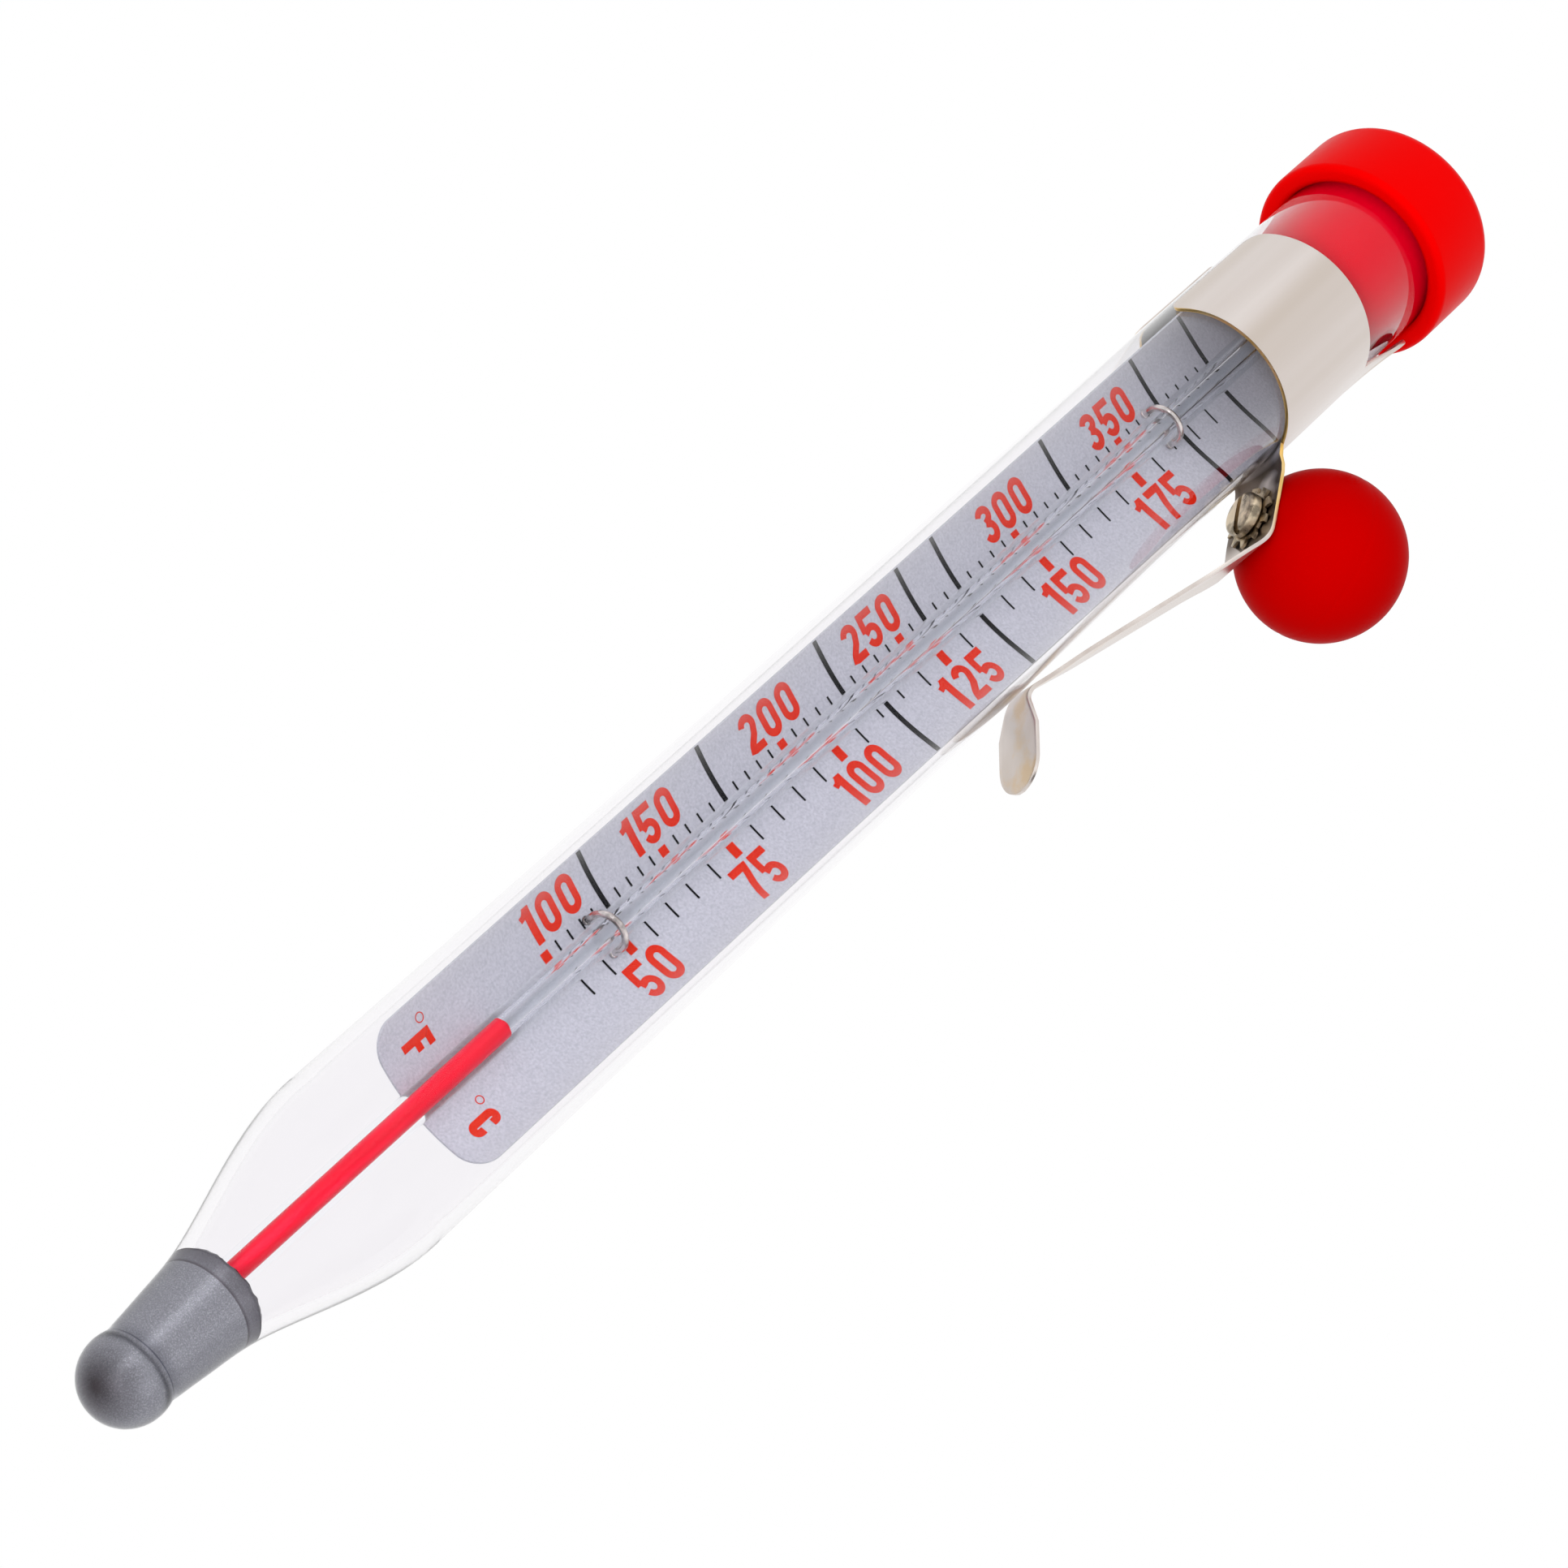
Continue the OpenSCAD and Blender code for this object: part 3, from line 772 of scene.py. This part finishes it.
def figure_strokes(digit, w, h):
    """Pen paths of a narrow figure in a box of w by h, each with its pen width and whether it is closed."""
    e = PEN / 2
    m, rx = w / 2, w / 2 - e
    if digit == "0":
        return [(ellipse(m, h - w / 2, rx, rx, 0, 180) + ellipse(m, w / 2, rx, rx, 180, 360), PEN, True)]
    if digit == "1":
        stem = w - 0.48
        return [([(stem, 0), (stem, h)], PEN + 0.12, False),
                ([(stem - 0.2, h - 0.32), (stem - 0.5, h - 0.72), (stem - 1.0, h - 0.86)], 0.58, False)]
    if digit == "2":
        bowl = ellipse(m, h - w / 2, rx, rx, 170, -20, 18)
        return [(bowl + [(w * 0.66, h * 0.44), (w * 0.34, h * 0.24), (w * 0.17, e), (w, e)], PEN, False)]
    if digit == "3":
        top = ellipse(m, h - w / 2 + 0.1, rx, rx - 0.1, 165, -70, 18)
        foot = ellipse(m, w / 2 + 0.02, rx, rx + 0.02, 75, -165, 20)
        return [(top + [(m - 0.1, h * 0.54)], PEN, False), ([(m - 0.1, h * 0.54)] + foot, PEN, False)]
    if digit == "5":
        bowl = ellipse(m, w / 2 + 0.06, rx, rx + 0.06, 118, -165, 22)
        return [([(w * 0.96, h - e), (w * 0.17, h - e), (w * 0.14, h * 0.47)], PEN, False),
                ([(w * 0.14, h * 0.44)] + bowl, PEN - 0.04, False)]
    leg = [(w * 0.80, h * 0.74), (w * 0.60, h * 0.46), (w * 0.48, h * 0.22), (w * 0.43, 0)]
    return [([(0.02, h - e), (w * 0.89, h - e)] + leg, PEN, False)]


def letter_strokes(text, w, h):
    """Pen paths of the unit letters."""
    e = PEN / 2
    if text == "F":
        bar = [(e, h * 0.49), (w * 0.9, h * 0.49)]
        return [([(e, 0), (e, h - e), (w, h - e)], PEN, False), (bar, PEN, False)]
    r = w / 2 - e
    bends = ellipse(w / 2, h - w / 2, r, r, 0, 180) + ellipse(w / 2, w / 2, r, r, 180, 360)
    return [([(w - e, h * 0.66)] + bends + [(w - e, h * 0.34)], PEN, False)]


def dense(points, closed, step=0.3):
    """The same path as vectors, with no two points further apart than step."""
    result = points[:1]
    for a, b in zip(points, points[1:] + (points[:1] if closed else [])):
        n = max(1, int(math.dist(a, b) / step))
        result += [(a[0] + (b[0] - a[0]) * i / n, a[1] + (b[1] - a[1]) * i / n) for i in range(1, n + 1)]
    return [Vector(p) for p in (result[:-1] if closed else result)]


def pen_line(points, width, closed):
    """Left and right side of a pen line with mitred corners."""
    count, sides = len(points), []
    for i, p in enumerate(points):
        ways = [p - points[i - 1]] if closed or i else []
        ways += [points[(i + 1) % count] - p] if closed or i < count - 1 else []
        normals = [Vector((-way.y, way.x)) / way.length for way in ways if way.length > 1e-6]
        normal = sum(normals, Vector((0, 0))) / len(normals)
        normal /= max(normal.length_squared, 0.4)
        sides.append((p + normal * width / 2, p - normal * width / 2))
    return sides


def printed_strokes(name, strokes, place, material):
    """Lays pen lines on the plate with place(x, y)."""
    verts, faces = [], []
    for points, width, closed in strokes:
        sides = pen_line(dense(points, closed), width, closed)
        base, count = len(verts), len(sides)
        for left, right in sides:
            verts += [place(left.x, left.y), place(right.x, right.y)]
        for i in range(count if closed else count - 1):
            a, b = base + 2 * i, base + 2 * ((i + 1) % count)
            faces.append([a, a + 1, b + 1, b])
    printed(name, verts, faces, material)


def figure(name, text, tops_u, base_u, middle, material):
    """A number whose reading direction is up the tube and whose tops face left."""
    height, strokes = abs(tops_u - base_u), []
    start = middle - ((len(text) - 1) * FIGURE_PITCH + FIGURE_W) / 2
    for i, digit in enumerate(text):
        for points, width, closed in figure_strokes(digit, FIGURE_W, height):
            strokes.append(([(x + i * FIGURE_PITCH, y) for x, y in points], width, closed))
    printed_strokes(name, strokes, lambda x, y: on_plate(base_u - y, start + x, INK_LIFT), material)


def ring_mark(name, u, z, outer, inner, material):
    """Degree ring."""
    n = 32
    angles = [2 * math.pi * k / n for k in range(n)]
    spots = [(u + r * math.cos(a), z + r * math.sin(a)) for r in (inner, outer) for a in angles]
    ring = mesh_object(name, [on_plate(*spot, INK_LIFT) for spot in spots], ring_quads(0, n, n))
    finish_piece(ring, material, "scale_aluminium", "scale")


def black_bars():
    """Long lines and ticks of both scales."""
    edge, left, right = PLATE_HALF + 0.25, -1.75, 1.12
    long_f, long_c = [125, 175, 225, 260, 275, 325, 370, 395], [112, 135, 188, 201]
    bars = []
    for t in long_f:
        z = height_of(t)
        bars.append((-edge * narrowing(z), left + MARK_DRIFT * climb(z), z, LONG_LINE))
    bars += [(right + 0.08, edge, celsius_height(t), LONG_LINE) for t in long_c]
    for t in range(105, 396, 5):
        z = height_of(t)
        if t % 50 and t not in long_f:
            bars.append((left - 1.2 + MARK_DRIFT * climb(z), left + MARK_DRIFT * climb(z), z, TICK))
    for t in range(40, 200, 5):
        if t % 25 and t not in long_c:
            reach = 2.1 if t in (110, 115, 185) else 2.88
            bars.append((right, reach, celsius_height(t), TICK))
    return bars


def red_squares():
    squares = []
    for t in range(100, 351, 50):
        z = height_of(t)
        squares.append((-2.85 + MARK_DRIFT * climb(z), -1.8 + MARK_DRIFT * climb(z), z, SQUARE))
    return squares + [(1.05, 2.54, celsius_height(t), SQUARE) for t in range(50, 176, 25)]


def make_print():
    """Both scales and their unit letters."""
    red = ink("ink_red", (0.57, 0.016, 0.004), (0.64, 0.026, 0.008))
    black = ink("ink_black", (0.002, 0.002, 0.003), (0.008, 0.008, 0.011))
    printed_bars("print_black_lines", black_bars(), black)
    printed_bars("print_red_marks", red_squares(), red)
    for t in range(100, 351, 50):
        z = height_of(t)
        across = NUMBER_DRIFT * climb(z) - 0.17
        figure(f"print_f_{t}", str(t), across - 7.0, across - 3.3, z + NUMBER_SHIFT.get(t, 0.0), red)
    for t in range(50, 176, 25):
        figure(f"print_c_{t}", str(t), 3.0, 6.95, celsius_height(t), red)
    letters_z, rings_z = -149.2, -146.15
    for text, u in (("F", -5.05), ("C", 3.8)):
        printed_strokes(f"print_letter_{text.lower()}", letter_strokes(text, 1.6, 3.4),
                        lambda x, y: on_plate(u + x, letters_z + y, INK_LIFT), red)
    ring_mark("print_ring_f", -6.0, rings_z, 0.48, 0.38, red)
    ring_mark("print_ring_c", 2.85, rings_z, 0.43, 0.33, red)


def make_tie(where, drop, metal):
    """Wire over the stem; its legs go through the plate with a bead in front and turn in behind it."""
    node = f"tie_wire_{where}"
    low, high = box_mm(node)
    cad_r, wire_r, tilt = (high.z - low.z) / 2, 0.34, 0.28
    mid_x, mid_z = (low.x + high.x) / 2 + STEM_SHIFT, (low.z + high.z) / 2 + drop
    cad_span = (high.x - low.x) / 2 - cad_r
    span, stem_y, back = cad_span + wire_r - cad_r, low.y + cad_r + cad_span, high.y
    leg = [(0.5, back - 0.25, 0.1), (0.92, back - 0.5, 0.06), (1, back - 0.9, 0), (1, stem_y + 0.4, 0)]
    path = [(mid_x - span * share, y, mid_z - off) for share, y, off in leg]
    for i in range(25):
        a = math.pi + math.pi * i / 24
        lean = tilt * math.sin(math.pi * i / 24)
        path.append((mid_x + span * math.cos(a), stem_y + span * math.sin(a), mid_z + lean))
    path += [(mid_x + span * share, y, mid_z + off) for share, y, off in leg[::-1]]
    wire = sweep(f"wire_{where}", path, wire_r, 20)
    face_y = on_plate(mid_x + span - PLATE_X, mid_z)[1]
    outline = [(0.0, -0.36), (0.28, -0.30), (0.41, -0.14), (0.44, 0.06), (0.33, 0.24), (0.0, 0.32)]
    beads = []
    for side in (-1, 1):
        bead = lathe(f"bead_{side}", outline, 24)
        bead.data.transform(Matrix.Rotation(math.radians(90), 4, "X"))
        beads.append(move(bead, (mid_x + side * span, face_y - 0.25, mid_z)))
    finish_piece(shade(join(f"tie_{where}", [wire] + beads)), metal, "bright_wire", "scale", node)


def make_ties():
    metal = plated("tie_bright", (0.78, 0.73, 0.70), 0.12, 500.0)
    make_tie("lower", -0.1, metal)
    make_tie("upper", -0.8, metal)


# ---- clip

def straight(a, b, n):
    """Points after a up to b."""
    return [a + (b - a) * (i / n) for i in range(1, n + 1)]


def turn(centre, r, a0, a1, n):
    return [centre + r * outward(a0 + (a1 - a0) * i / n) for i in range(1, n + 1)]


def band_rows():
    """Heights of the rows in the band, from its upper edge down, close together at its rounded corners."""
    fine, middle = eased(BAND_CORNER_R, 8), 8
    span = BAND_HIGH_Z - BAND_LOW_Z - 2 * BAND_CORNER_R
    rows = [BAND_HIGH_Z - d for d in fine]
    rows += [BAND_HIGH_Z - BAND_CORNER_R - span * i / middle for i in range(1, middle)]
    return rows + [BAND_LOW_Z + d for d in fine[::-1]]


def strip_path():
    """Middle line of the strip from the tab's top to the tongue's end, and its rows in the band."""
    foot = Vector((STRIP_MID_X, BAND_HIGH_Z))
    tab_len = TAB_TOP_Z - BAND_HIGH_Z
    top = foot - tab_len * along(-TAB_LEAN)
    points = [top + (foot - top) * (max(d, 0.02) / tab_len) for d in eased(STRIP_HALF_W, 12)]
    points += straight(points[-1], foot + (top - foot) * 0.08, 7)
    first = len(points)
    for z in band_rows():
        dent = BAND_DENT * smoothstep((BAND_HIGH_Z - z) / 2) * smoothstep((z - BAND_LOW_Z) / 2)
        points.append(Vector((STRIP_MID_X - dent, z)))
    last = len(points) - 1
    points.append(PANEL_TOP + 0.8 * along(PANEL_ANGLE))
    points += straight(points[-1], PANEL_END, 10)
    points += turn(BEND_C, BEND_R, PANEL_ANGLE, -ARM_ANGLE, 12)
    points += straight(BEND_END, CONTACT_START, 34)
    points += turn(CONTACT_C, CONTACT_R, math.pi - ARM_ANGLE, math.pi + TONGUE_ANGLE, 12)
    for to_end in (6.2, 4.8, 3.6, 2.8, 2.2, 1.7, 1.25, 0.85, 0.5, 0.25, 0.08, 0.0):
        points.append(TONGUE_END - along(TONGUE_ANGLE) * to_end)
    return points, first, last


def half_width(p, index, first, distance_to_end):
    """Half of the strip's width at a point of its middle line."""
    z = p.y
    if index < first:
        drop = max(0.0, STRIP_HALF_W - (TAB_TOP_Z - z))
        return math.sqrt(max(0.05, STRIP_HALF_W ** 2 - drop ** 2))
    arm_half, neck_half, tongue_half = 2.6, 1.7, 3.1
    taper_start, taper_end = BEND_END.y - 0.5, BEND_END.y - 7.5
    if z > taper_start:
        return STRIP_HALF_W
    if z > taper_end:
        share = smoothstep((taper_start - z) / (taper_start - taper_end))
        return STRIP_HALF_W + (arm_half - STRIP_HALF_W) * share
    if z > CONTACT_Z + 1:
        return arm_half + (neck_half - arm_half) * (taper_end - z) / (taper_end - CONTACT_Z - 1)
    if z > CONTACT_Z - 1:
        return neck_half
    grown = neck_half + (tongue_half - neck_half) * smoothstep((CONTACT_Z - 1 - z) / 2.8)
    if distance_to_end < tongue_half:
        grown *= math.sqrt(max(0.02, 1 - (1 - distance_to_end / tongue_half) ** 2))
    return grown


def sheet_curve(z):
    """Curvature of the strip across its width: the band's in the band, fading to flat above and below."""
    up = smoothstep((z - BAND_HIGH_Z) / 6.0)
    down = smoothstep((BAND_LOW_Z - z) / 2.2)
    return (1 - up) * (1 - down) / BAND_MID_R


def sheet_place(p, n, s, k):
    """Middle and normal of the sheet at arc length s from its middle line, where it has a curvature k."""
    a = s * k
    y, sag = (math.sin(a) / k, (1 - math.cos(a)) / k) if k > 1e-5 else (s, 0.0)
    roll = ARM_ROLL * smoothstep((BEND_END.y + 4 - p.y) / 4) * smoothstep((p.y - CONTACT_Z - 1) / 8)
    out = s * math.sin(roll) - sag
    middle = Vector((p.x + n.x * out, y * math.cos(roll), p.y + n.y * out))
    return middle, Vector((n.x * math.cos(a + roll), math.sin(a - roll), n.y * math.cos(a + roll)))


def clip_grid():
    """Middles and normals of the sheet's grid points and the quads between them; wings only in the band."""
    path, first, last = strip_path()
    count, strip_cols, wing_cols = len(path), 12, 44
    wing_end = BAND_MID_R * BAND_HALF_ANGLE
    places, index, to_end = [], {}, [0.0] * count

    def add(key, *place):
        index[key] = len(places)
        places.append(sheet_place(*place))

    for i in range(count - 2, -1, -1):
        to_end[i] = to_end[i + 1] + (path[i + 1] - path[i]).length
    for i, p in enumerate(path):
        in_band = first <= i <= last
        tangent = (path[min(i + 1, count - 1)] - path[max(i - 1, 0)]).normalized()
        n = Vector((1.0, 0.0)) if in_band else Vector((-tangent.y, tangent.x))
        half = half_width(p, i, first, to_end[i])
        for c in range(strip_cols + 1):
            add((i, c), p, n, half * (2 * c / strip_cols - 1), sheet_curve(p.y))
        if in_band:
            ring = Vector((BAND_MID_R, p.y))
            depth = min(BAND_HIGH_Z - p.y, p.y - BAND_LOW_Z)
            reach = wing_end - BAND_CORNER_R + round_corner(BAND_CORNER_R, depth)
            for c in range(1, wing_cols + 1):
                s = half + (reach - half) * c / wing_cols
                add((i, strip_cols + c), ring, n, s, 1 / BAND_MID_R)
                add((i, -c), ring, n, -s, 1 / BAND_MID_R)
    quads = []
    for i in range(count - 1):
        wing = wing_cols if first <= i < last else 0
        for c in range(-wing, strip_cols + wing):
            quads.append([index[(i, c)], index[(i + 1, c)], index[(i + 1, c + 1)], index[(i, c + 1)]])
    return places, quads


def make_clip():
    """One continuous sheet: band, tab, panel, spring arm and tongue."""
    places, quads = clip_grid()
    verts = [middle + side * normal * SHEET_T / 2 for side in (1, -1) for middle, normal in places]
    clip = mesh_object("clip_sheet", verts, closed_sheet(quads, len(places)))

    def mark_rim(bm):
        for face in bm.faces[2 * len(quads):]:
            face.material_index = 1
        bmesh.ops.recalc_face_normals(bm, faces=bm.faces)

    edit(clip, mark_rim)
    bevel_edges(clip, 0.07, 60)
    rim = [face.material_index for face in clip.data.polygons]
    finish_piece(clip, spring_steel(), "spring_steel", None, "clip_band", "clip_arm")
    clip.data.materials.append(cut_edge())
    clip.data.polygons.foreach_set("material_index", rim)
    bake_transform(clip)


# ---- knob, screw and washer

def in_screw_frame(obj):
    obj.data.transform(SCREW_FRAME)
    return obj


def make_ball():
    """Ball with a small flat on the panel, a soft edge and a faint moulding line round it."""
    seat = SHEET_T / 2 + 0.02
    centre = seat + BALL_FLAT
    low_angle = -math.degrees(math.asin(BALL_FLAT / BALL_R))
    profile = [(0.0, seat), (2.6, seat), (3.0, seat + 0.03)]
    for x, z in arc_points(0, centre, BALL_R - 0.01, low_angle + 2, 90, 110):
        seam = 0.035 * math.exp(-((z - centre) / 0.16) ** 2)
        profile.append((x - seam, z))
    ball = in_screw_frame(lathe("ball_knob", profile, 160))
    red = plastic("plastic_knob_red", (0.38, 0.0, 0.0), (0.32, 0.0, 0.0), 0.34, 0.14, 0.004)
    finish_piece(ball, red, "knob_plastic", "clip", "knob_ball")


def make_screw():
    """Slotted pan head on the tube's side and the threaded shank that runs into the knob."""
    seat = -(SHEET_T / 2 + 0.5 + 0.04)
    head_r, head_h, shank_r = 2.4, 1.3, 1.5
    low = seat - head_h
    profile = [(0.0, low), (1.2, low + 0.03)]
    profile += arc_points(head_r - 0.65, low + 0.68, 0.62, -80, 0, 8)
    profile += [(head_r - 0.01, seat - 0.12), (head_r - 0.1, seat), (shank_r, seat)]
    turns, pitch = 15, 0.5
    z = seat + 0.02
    for _ in range(turns):
        profile += [(shank_r, z + pitch * 0.1), (shank_r - 0.25, z + pitch * 0.5), (shank_r, z + pitch * 0.9)]
        z += pitch
    profile += [(shank_r - 0.4, z + 0.3), (0.0, z + 0.3)]
    screw = lathe("screw_slotted", profile, 96)
    slot_w, slot_d = 0.7, 0.62
    bpy.ops.mesh.primitive_cube_add(size=1)
    cutter = bpy.context.object
    cutter.scale = (12 * MM, slot_w * MM, 4 * MM)
    cutter.location = (0, 0, (low + slot_d - 2.0) * MM)
    cut = screw.modifiers.new("slot", "BOOLEAN")
    cut.operation, cut.object, cut.solver = "DIFFERENCE", cutter, "EXACT"
    bpy.context.view_layer.update()
    mesh = bpy.data.meshes.new_from_object(screw.evaluated_get(bpy.context.evaluated_depsgraph_get()))
    screw.modifiers.clear()
    screw.data = mesh
    bpy.data.objects.remove(cutter)
    sharpen(screw, 30)
    in_screw_frame(screw)
    metal = plated("screw_plating", (0.70, 0.58, 0.42), 0.2, 700.0)
    finish_piece(screw, metal, "plated_steel", "clip", "knob_screw")


def make_washer():
    """Lock washer whose outer teeth are twisted out of its plane."""
    inner, root, tip, sheet = 1.65, 2.62, 3.35, 0.315
    teeth, steps = 10, 8
    middle = -(SHEET_T / 2 + 0.29)
    ring, verts, faces = teeth * steps, [], []
    for k in range(ring):
        a = 2 * math.pi * k / ring
        share = (k % steps) / steps
        edge_r, twist = (tip, 0.13 * (share * 4 - 0.75)) if share < 0.5 else (root, 0.0)
        for r, lift in ((inner, 0.0), (root, 0.0), (edge_r, twist)):
            for side in (-0.5, 0.5):
                verts.append((r * math.cos(a), r * math.sin(a), middle + lift + side * sheet))
        here, ahead = 6 * k, 6 * ((k + 1) % ring)
        faces += [[here + p, here + q, ahead + q, ahead + p] for p, q in ((0, 2), (2, 4), (4, 5))]
        faces += [[here + p, ahead + p, ahead + q, here + q] for p, q in ((0, 1), (1, 3), (3, 5))]
    washer = in_screw_frame(mesh_object("washer_toothed", verts, faces, smooth=False))
    metal = plated("washer_plating", (0.50, 0.40, 0.27), 0.22, 900.0)
    finish_piece(washer, metal, "plated_steel", "clip", "lock_washer")


def make_insert():
    """Knurled brass insert in the ball."""
    seat, bore_r, outer_r, n = SHEET_T / 2 + 0.02, 1.53, 2.28, 72
    levels = [(0.0, 0.0), (0.3, 0.12), (8.6, 0.12), (8.9, 0.0)]
    verts, faces = [], []
    for z, knurl in levels:
        for radius, ridge in ((bore_r, 0.0), (outer_r, knurl)):
            for k in range(n):
                a, r = 2 * math.pi * k / n, radius + ridge * (k % 2)
                verts.append((r * math.cos(a), r * math.sin(a), seat + z))
    for i in range(0, 2 * len(levels) - 2, 2):
        faces += [quad[::-1] for quad in ring_quads(i * n, (i + 2) * n, n)]
        faces += ring_quads((i + 1) * n, (i + 3) * n, n)
    last = 2 * (len(levels) - 1) * n
    faces += ring_quads(0, n, n) + ring_quads(last + n, last, n)
    insert = in_screw_frame(mesh_object("insert_knurled", verts, faces, smooth=False))
    finish_piece(insert, plated("brass_turned", (0.80, 0.60, 0.28), 0.22), "brass", "clip", "knob_insert")


def make_reservoir():
    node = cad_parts["spirit_reservoir"]
    node.data.materials.clear()
    node.data.materials.append(spirit_finish())


# ---- stage

def area_light(name, location, target, size, power, colour=(1, 1, 1)):
    data = bpy.data.lights.new(name, "AREA")
    data.shape = "RECTANGLE"
    data.size, data.size_y = size
    data.energy = power
    data.color = colour
    light = add_object(name, data)
    light.location = location
    light.rotation_euler = (Vector(target) - Vector(location)).to_track_quat("-Z", "Y").to_euler()
    return light


def dark_card(name, location, radius):
    """Dark round card that only reflections show."""
    bpy.ops.mesh.primitive_circle_add(vertices=48, radius=radius, fill_type="NGON", location=location)
    card = bpy.context.object
    card.name = name
    m = Nodes(name)
    m.set(Base_Color=(0.02, 0.006, 0.007, 1), Roughness=0.9)
    card.data.materials.append(m.material)
    card.visible_camera = card.visible_shadow = card.visible_diffuse = card.visible_transmission = False
    return card


def make_stage():
    """Pale floor far below the object, a dark card at its side, a white room and soft lamps."""
    floor_z, floor_half = -0.56, 4.0
    bpy.ops.mesh.primitive_plane_add(size=2 * floor_half, location=(0, 0, floor_z))
    floor = bpy.context.object
    floor.name = "floor"
    m = Nodes("floor_pale")
    m.set(Base_Color=(0.86, 0.86, 0.86, 1), Roughness=0.7)
    floor.data.materials.append(m.material)
    middle = Vector((0, 0, -0.09))
    card = dark_card("dark_side", (0.55, -0.15, -0.12), 0.16)
    card.rotation_euler = (middle - card.location).to_track_quat("Z", "Y").to_euler()
    world = bpy.data.worlds.new("white_room")
    world.use_nodes = True
    background = world.node_tree.nodes["Background"]
    background.inputs["Color"].default_value = (1, 1, 1, 1)
    background.inputs["Strength"].default_value = 1.0
    bpy.context.scene.world = world
    area_light("key", (-0.35, -0.75, 0.25), middle, (0.5, 0.5), 0.25)
    area_light("fill", (0.65, -0.55, -0.2), middle, (0.6, 0.6), 0.3)
    front = area_light("front", (-0.08, -0.42, -0.44), middle, (0.3, 0.3), 2.6, (1.0, 0.95, 0.98))
    front.visible_glossy = front.visible_transmission = front.visible_camera = False
    area_light("strip", (-0.3, -0.45, -0.2), middle, (0.015, 0.7), 0.25)
    scene = bpy.context.scene
    scene.view_settings.view_transform = "Standard"
    scene.view_settings.look = "None"


def make_camera():
    """View from below and in front, rolled so that the tube lies on a diagonal."""
    data = bpy.data.cameras.new("photo_view")
    data.sensor_width = 36.0
    data.angle = CAMERA_ANGLE
    data.clip_start, data.clip_end = 0.01, 20.0
    camera = add_object("photo_view", data)
    forward = Vector(CAMERA_FORWARD).normalized()
    right = forward.cross(Vector(CAMERA_UP)).normalized()
    turned = Matrix((right, right.cross(forward), -forward)).transposed().to_4x4()
    camera.matrix_world = Matrix.Translation(Vector(CAMERA_AT) * MM) @ turned
    bpy.context.scene.camera = camera


for make in (make_tube, make_cap, make_pad, make_filling, make_stem, make_column, make_reservoir, make_plate,
             make_print, make_ties, make_clip, make_ball, make_screw, make_washer, make_insert, make_stage,
             make_camera):
    make()
